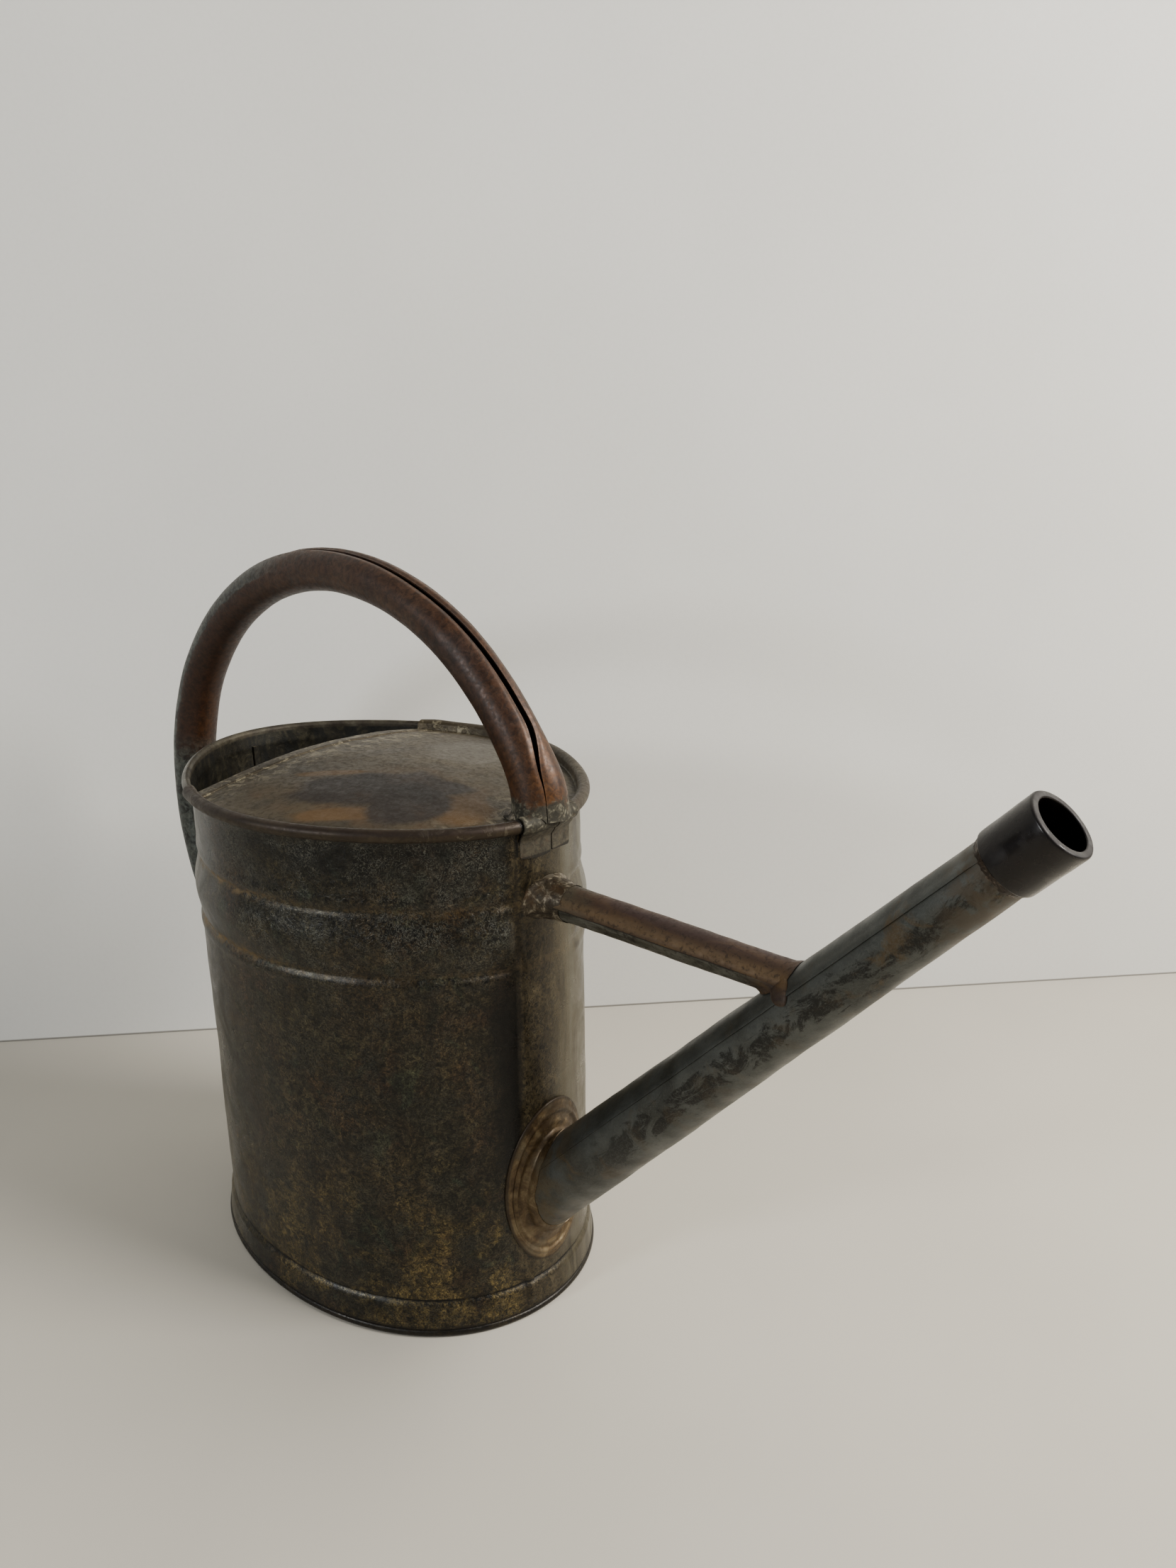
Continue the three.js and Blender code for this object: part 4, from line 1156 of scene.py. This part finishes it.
def build_collar(material):
    """The oval plate round the spout's foot, raised into a ridged neck that hugs the spout."""
    turns = np.linspace(-math.pi, math.pi, 120, endpoint=False)
    starts = spout_start(turns, 1.2)
    base = spout_surface(turns, starts)
    hole_y, hole_z = base[:, 1], base[:, 2]
    direction = np.arctan2(hole_y / COLLAR["half_width"], (hole_z - COLLAR["height"]) / COLLAR["half_height"])
    edge_y = COLLAR["half_width"] * np.sin(direction)
    edge_z = COLLAR["height"] + COLLAR["half_height"] * np.cos(direction)
    thickness = COLLAR["thickness"]
    front = [
        pad_point(edge_y, edge_z, 0.1), pad_point(edge_y, edge_z, thickness - 0.35),
        pad_point(lerp(edge_y, hole_y, 0.012), lerp(edge_z, hole_z, 0.012), thickness),
    ]
    for share in np.linspace(0.04, 0.72, 30):
        y, z = lerp(edge_y, hole_y, share), lerp(edge_z, hole_z, share)
        ripple = 0.7 * ridge(share, 0.30, 0.07) + 0.6 * ridge(share, 0.60, 0.08)
        ripple -= 0.3 * ridge(share, 0.42, 0.05)
        lift = thickness + ripple + 0.25 * math.sin(share * 9)
        points = pad_point(y, z, 0)
        front.append(pad_point(y, z, lift + 0.25 * rough(points, 9, 11)))
    low = front[-1]
    reach = 13 + 2.0 * rough(base, 14, 12)
    high = spout_surface(turns, starts + reach, 0.45)
    corner = lerp(base, spout_surface(turns, starts + reach * 0.15, 0.3), 0.5)
    outward = spout_surface(turns, 0, 1.0) - spout_surface(turns, 0, 0.0)
    for share in np.linspace(0.06, 1, 22):
        curve = low * (1 - share) ** 2 + corner * 2 * share * (1 - share) + high * share**2
        push = 0.5 * math.sin(share * math.pi * 3) + 0.35 * rough(curve, 6, 13)[:, None]
        push = push * math.sin(share * math.pi)
        front.append(curve + outward * push)
    back = [spout_surface(turns, start, -0.3) for start in (starts + reach, spout_start(turns, 0.3))]
    neck = skin("spout_neck", front + back, material, closed=True, sharp=50)
    finish_piece(neck, "collar_zinc", "spout_collar", "spout_solder")


# ---------------------------------------------------------------- solder and the brace
def fillet(name, corner, one, other, size_one, size_other, material, seed, lumps=0.35):
    """A lumpy bead in the corner between two surfaces: corner points, and a direction along each."""
    swell = 1 + lumps * rough(corner, 5, seed) + 0.25 * rough(corner, 2, seed + 1)
    rows = [corner - 0.3 * (one + other)]
    for share in np.linspace(0, 1, 13):
        a = one * (size_one * swell * (1 - share) ** 1.6)[:, None]
        b = other * (size_other * swell * share**1.6)[:, None]
        bulge = 0.25 * math.sin(share * math.pi)
        lump = rough(corner + a + b, 2.4, seed + 2)[:, None] * 0.22 * math.sin(share * math.pi)
        rows.append(corner + a + b + (one + other) * (bulge + lump))
    rings = np.stack(rows, 1)
    return skin(name, rings, material, closed=True, sharp=60)


def unit(vectors):
    return vectors / np.linalg.norm(vectors, axis=-1, keepdims=True)


BRACE_HEIGHT = 254.0
BRACE_START, BRACE_LAST = 100.0, 284.0
BRACE_RADII = (10.0, 8.65)
BRACE_SEAM = math.radians(-91)
EAR_HALF_WIDTH, EAR_HALF_HEIGHT, EAR_REACH = 19.3, 11.2, 17.0
TONGUE_TURN, TONGUE_HALF_TURN = math.radians(-46), math.radians(26)
TONGUE_ALONG, TONGUE_HALF_WIDTH = 228.8, 5.6


def brace_surface(turn, x, extra=0.0):
    """Points on the brace. turn is measured from its upper line towards +Y."""
    turn, x, extra = np.broadcast_arrays(*(np.asarray(v, float) for v in (turn, x, extra)))
    radius = lerp(BRACE_RADII[0], BRACE_RADII[1], (x - BRACE_START) / (BRACE_LAST - BRACE_START)) + extra
    return np.stack([x, radius * np.sin(turn), BRACE_HEIGHT + radius * np.cos(turn)], -1)


def brace_ends(turns, lift):
    """Where each line along the brace leaves the wall and where it comes to the spout."""
    start = meets(brace_surface, wall_clearance, turns, np.linspace(100, 160, 241), lift)
    end = meets(brace_surface, spout_clearance, turns, np.linspace(230, 330, 401), lift)
    return start, end


def build_brace(material):
    past_seam = [[0.0], np.linspace(0.004, 0.2, 6), np.linspace(0.26, 2 * math.pi - 0.004, 60)]
    turns, lap = lapped(BRACE_SEAM, past_seam, 0.7, 0.55)
    starts, ends = brace_ends(turns, 0.3)
    outer, inner = [], []
    for share in np.linspace(0, 1, 110):
        x = lerp(starts, ends, share)
        points = brace_surface(turns, x)
        body = 0.25 * rough(points, 28, 15) + 0.12 * rough(points, 7, 16)
        flare = 2.2 * np.exp(-(x - starts) / 4.0)
        outer.append(brace_surface(turns, x, body + lap + flare))
        inner.append(brace_surface(turns, x, body + flare - SHEET))
    tube = skin("brace_tube", outer + inner[::-1], material, closed=True)
    finish_piece(tube, "rusted_steel", "brace")


def build_brace_foot(material):
    """The brace's flattened ears on the wall, covered with lumps of solder."""
    turns = np.linspace(-math.pi, math.pi, 110, endpoint=False)
    starts = brace_ends(turns, 0.3)[0]
    base = brace_surface(turns, starts)
    direction = np.arctan2(base[:, 1] / EAR_HALF_WIDTH, (base[:, 2] - BRACE_HEIGHT) / EAR_HALF_HEIGHT)
    wobble = 1 + 0.05 * rough(base, 7, 21)
    edge_y = EAR_HALF_WIDTH * np.sin(direction) * wobble
    edge_z = BRACE_HEIGHT + EAR_HALF_HEIGHT * np.cos(direction) * wobble
    rows = [pad_point(edge_y, edge_z, 0.05)]
    high = brace_surface(turns, starts + EAR_REACH + 2 * rough(base, 9, 22), 0.45)
    corner = brace_surface(turns, starts + 3.5, 0.9)
    low = pad_point(lerp(edge_y, base[:, 1], 0.04), lerp(edge_z, base[:, 2], 0.04), 0.9)
    for share in np.linspace(0, 1, 24):
        curve = low * (1 - share) ** 2 + corner * 2 * share * (1 - share) + high * share**2
        lumpy = lerp(0.25, 1.0, smoothstep(0.2, 0.9, np.cos(turns)))
        lumps = (0.8 * rough(curve, 5, 23) + 0.4 * rough(curve, 2.2, 24)) * lumpy + 0.4
        lift = lumps[:, None] * math.sin(share * math.pi) ** 0.7
        out = unit(curve - [base[:, 0].mean() - 12, 0, BRACE_HEIGHT])
        rows.append(curve + out * lift)
    rows.append(brace_surface(turns, starts, -0.2))
    ears = skin("brace_ears", rows, material, closed=True, sharp=60)
    finish_piece(ears, "solder", "brace_foot_solder")


def build_brace_tip(material):
    """The rusty fillet round the brace's end, with a tongue down the near side of the spout."""
    turns = np.linspace(-math.pi, math.pi, 110, endpoint=False)
    ends = brace_ends(turns, 0.25)[1]
    corner = brace_surface(turns, ends)
    from_foot = corner - SPOUT_FOOT
    across = unit(from_foot - (from_foot @ SPOUT_LINE)[:, None] * SPOUT_LINE)
    back = np.tile([-1.0, 0, 0], (len(turns), 1))
    outward = unit(corner - [corner[:, 0].mean(), 0, BRACE_HEIGHT])
    along = unit(outward - (outward * across).sum(-1)[:, None] * across)
    bead = fillet("brace_tip_bead", corner, back, along, 4.0, 2.0, material, 31, 0.1)
    rings = []
    levels = ((1, -0.3), (1, 0.45), (0.93, 0.95), (0.8, 1.2), (0.5, 1.5), (0.2, 1.65), (0.03, 1.65))
    for share, height in levels:
        round_it = TONGUE_HALF_TURN * share * np.cos(turns) * (1 + 0.04 * np.sin(3 * turns))
        turn = TONGUE_TURN + round_it
        place = TONGUE_ALONG + TONGUE_HALF_WIDTH * share * np.sin(turns) * (1 + 0.15 * np.cos(turns))
        rings.append(spout_surface(turn, place, height))
    tongue = skin("brace_tongue", rings, material)
    finish_piece(join("brace_tip_fillet", [bead, tongue]), "rusted_steel", "brace_tip_solder")


def build_solders(material, dark_material):
    turns = np.linspace(-math.pi, math.pi, 110, endpoint=False)
    corner = spout_surface(turns, FERRULE_START, 0.1)
    back = np.tile(-SPOUT_LINE, (len(turns), 1))
    outward = spout_surface(turns, FERRULE_START, 1.1) - corner
    bead = fillet("ferrule_bead", corner, back, outward, 3.0, 1.1, dark_material, 41, 0.15)
    finish_piece(bead, "solder", "ferrule_solder")

    ends = handle_feet(turns, 0.3)
    corner = handle_surface(turns, ends)
    back = unit(handle_surface(turns, ends - 1) - corner)
    outward = unit(handle_surface(turns, ends, -1.0) - corner) * (0, 1, 1)
    bead = fillet("handle_rear_bead", corner, back, unit(outward), 5.0, 4.5, material, 51)
    finish_piece(bead, "solder", "handle_rear_solder")

    starts = handle_roots(turns, 0.2)
    corner = handle_surface(turns, starts)
    amount = np.where(np.cos(turns) < -0.2, 1.0, 0.25)[:, None]
    up = unit(handle_surface(turns, starts + 1) - corner) * amount
    outward = unit(unit(handle_surface(turns, starts, -1.0) - corner) * (1, 1, 0)) * amount
    bead = fillet("handle_front_bead", corner, up, outward, 3.0, 3.0, material, 61)
    finish_piece(bead, "solder", "handle_front_solder")


# ---------------------------------------------------------------- everything in its place
zinc = aged_zinc()
build_walls(zinc)
solder = solder_grey("solder", (0.25, 0.215, 0.165))
dark_solder = solder_grey("dark_solder", (0.13, 0.10, 0.08))
rusted = brace_rust()
finish_piece(seam_strip("rear_fold", math.pi, 25, 291, zinc), "aged_zinc", "rear_seam")
finish_piece(seam_strip("front_fold", SEAM, 25, 288, zinc), "aged_zinc", "front_seam")
finish_piece(base_plate(zinc), "aged_zinc", "base_plate")
build_deck(deck_zinc())
build_handle(rusted_steel())
build_spout(spout_zinc())
build_ferrule(dark_steel())
build_collar(collar_zinc())
build_brace(rusted)
build_brace_foot(solder)
build_brace_tip(rusted)
build_solders(solder, dark_solder)
wire = wire_steel()
for name, material in (("rim_wire", wire), ("foot_wire", wire), ("base_solder", solder)):
    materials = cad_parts[name].data.materials
    materials.clear()
    materials.append(material)


# ---------------------------------------------------------------- floor, backdrop, light and camera
STAGE_REACH = 4000
BACKDROP_REACH = 4500
BACKDROP_LINE = np.array([0.674, 0.738])
BACKDROP_MIDDLE = np.array([-94.18, 270.14])
SPACKLE = (0.5, 0.47, 0.42)
CORNER_SHADE = (0.10, 0.09, 0.07)


def stage_material(name, colour, shade_line=0.0):
    """Matt paint, a little uneven. The last argument darkens a thin line along the sheet's lowest edge with
    painted shade, where it meets the floor.
    """
    look = Look(name)
    grain = look.noise(3.0, 4, 0.6)
    tone = look.mix(look.noise(240, 3, 0.5).ramp(0.35, 0.65), colour, tuple(0.96 * c for c in colour))
    tone = tone.coat(grain.ramp(0.4, 0.7) * 0.06, SPACKLE)
    tone = tone.coat(look.height.ramp(2.2, 1.0) * shade_line, CORNER_SHADE)
    look.finish(tone, grain.ramp(0.3, 0.7, 0.75, 0.85), 0.0, grain, 0.05, 0.15)
    return look


def one_sided(look):
    """Clears the back of a sheet, so that it hides nothing from behind."""
    back = look.output("ShaderNodeNewGeometry", {}, "Backfacing")
    paint = Value(look, look.shader.outputs[0])
    clear = look.output("ShaderNodeBsdfTransparent", {})
    mixed = look.output("ShaderNodeMixShader", {0: back, 1: paint, 2: clear})
    look.set(look.nodes["Material Output"], "Surface", mixed)
    return look


def stage_sheet(name, corners_mm, look):
    mesh = bpy.data.meshes.new(name)
    placed = (np.array(corners_mm, float) + [TANK_X, 0, 0]) * MM
    mesh.from_pydata(placed.tolist(), [], [tuple(range(len(corners_mm)))])
    mesh.materials.append(look.material)
    sheet = bpy.data.objects.new(name, mesh)
    bpy.context.scene.collection.objects.link(sheet)


square = ((-1, -1), (1, -1), (1, 1), (-1, 1))
stage_sheet("floor", [(STAGE_REACH * x, STAGE_REACH * y, 0) for x, y in square],
            stage_material("floor", (0.475, 0.440, 0.372)))
left, right = (BACKDROP_MIDDLE + side * BACKDROP_REACH * BACKDROP_LINE for side in (-1, 1))
stage_sheet("backdrop", [(*left, 0), (*right, 0), (*right, STAGE_REACH), (*left, STAGE_REACH)],
            one_sided(stage_material("backdrop", (0.67, 0.66, 0.62), 0.8)))


def in_metres(place):
    """A point given in millimetres from the middle of the tank's base, in the frame's metres."""
    return Vector((place[0] + TANK_X, place[1], place[2])) * MM


def area_light(name, place, target, size, power, colour):
    light = bpy.data.lights.new(name, "AREA")
    light.shape = "DISK"
    light.size = size
    light.energy = power
    light.color = colour
    lamp = bpy.data.objects.new(name, light)
    lamp.location = in_metres(place)
    way = in_metres(target) - in_metres(place)
    lamp.rotation_euler = way.to_track_quat("-Z", "Y").to_euler()
    bpy.context.scene.collection.objects.link(lamp)


area_light("key", (1450, 640, 1350), (40, 0, 150), 0.9, 70, (1, 0.97, 0.92))
area_light("fill", (-220, -1560, 790), (0, 0, 180), 0.28, 13, (0.95, 0.98, 1))

world = bpy.data.worlds.new("studio")
bpy.context.scene.world = world
world.use_nodes = True
surroundings = world.node_tree.nodes["Background"].inputs
surroundings["Color"].default_value = (0.95, 0.97, 1.0, 1)
surroundings["Strength"].default_value = 0.29

CAMERA_PLACE = (506.389, -409.024, 488.224)
SENSOR, LENS = 36, 35.187
PITCH, YAW = math.radians(17.247), math.radians(40.662)
forward = Vector((-math.sin(YAW) * math.cos(PITCH), math.cos(YAW) * math.cos(PITCH), -math.sin(PITCH)))
right_way = Vector((math.cos(YAW), math.sin(YAW), 0))
up_way = right_way.cross(forward)
camera_data = bpy.data.cameras.new("camera")
camera_data.sensor_fit = "HORIZONTAL"
camera_data.sensor_width = SENSOR
camera_data.lens = LENS
camera = bpy.data.objects.new("camera", camera_data)
aim = Matrix((right_way, up_way, -forward)).transposed().to_4x4()
camera.matrix_world = Matrix.Translation(in_metres(CAMERA_PLACE)) @ aim
bpy.context.scene.collection.objects.link(camera)
bpy.context.scene.camera = camera
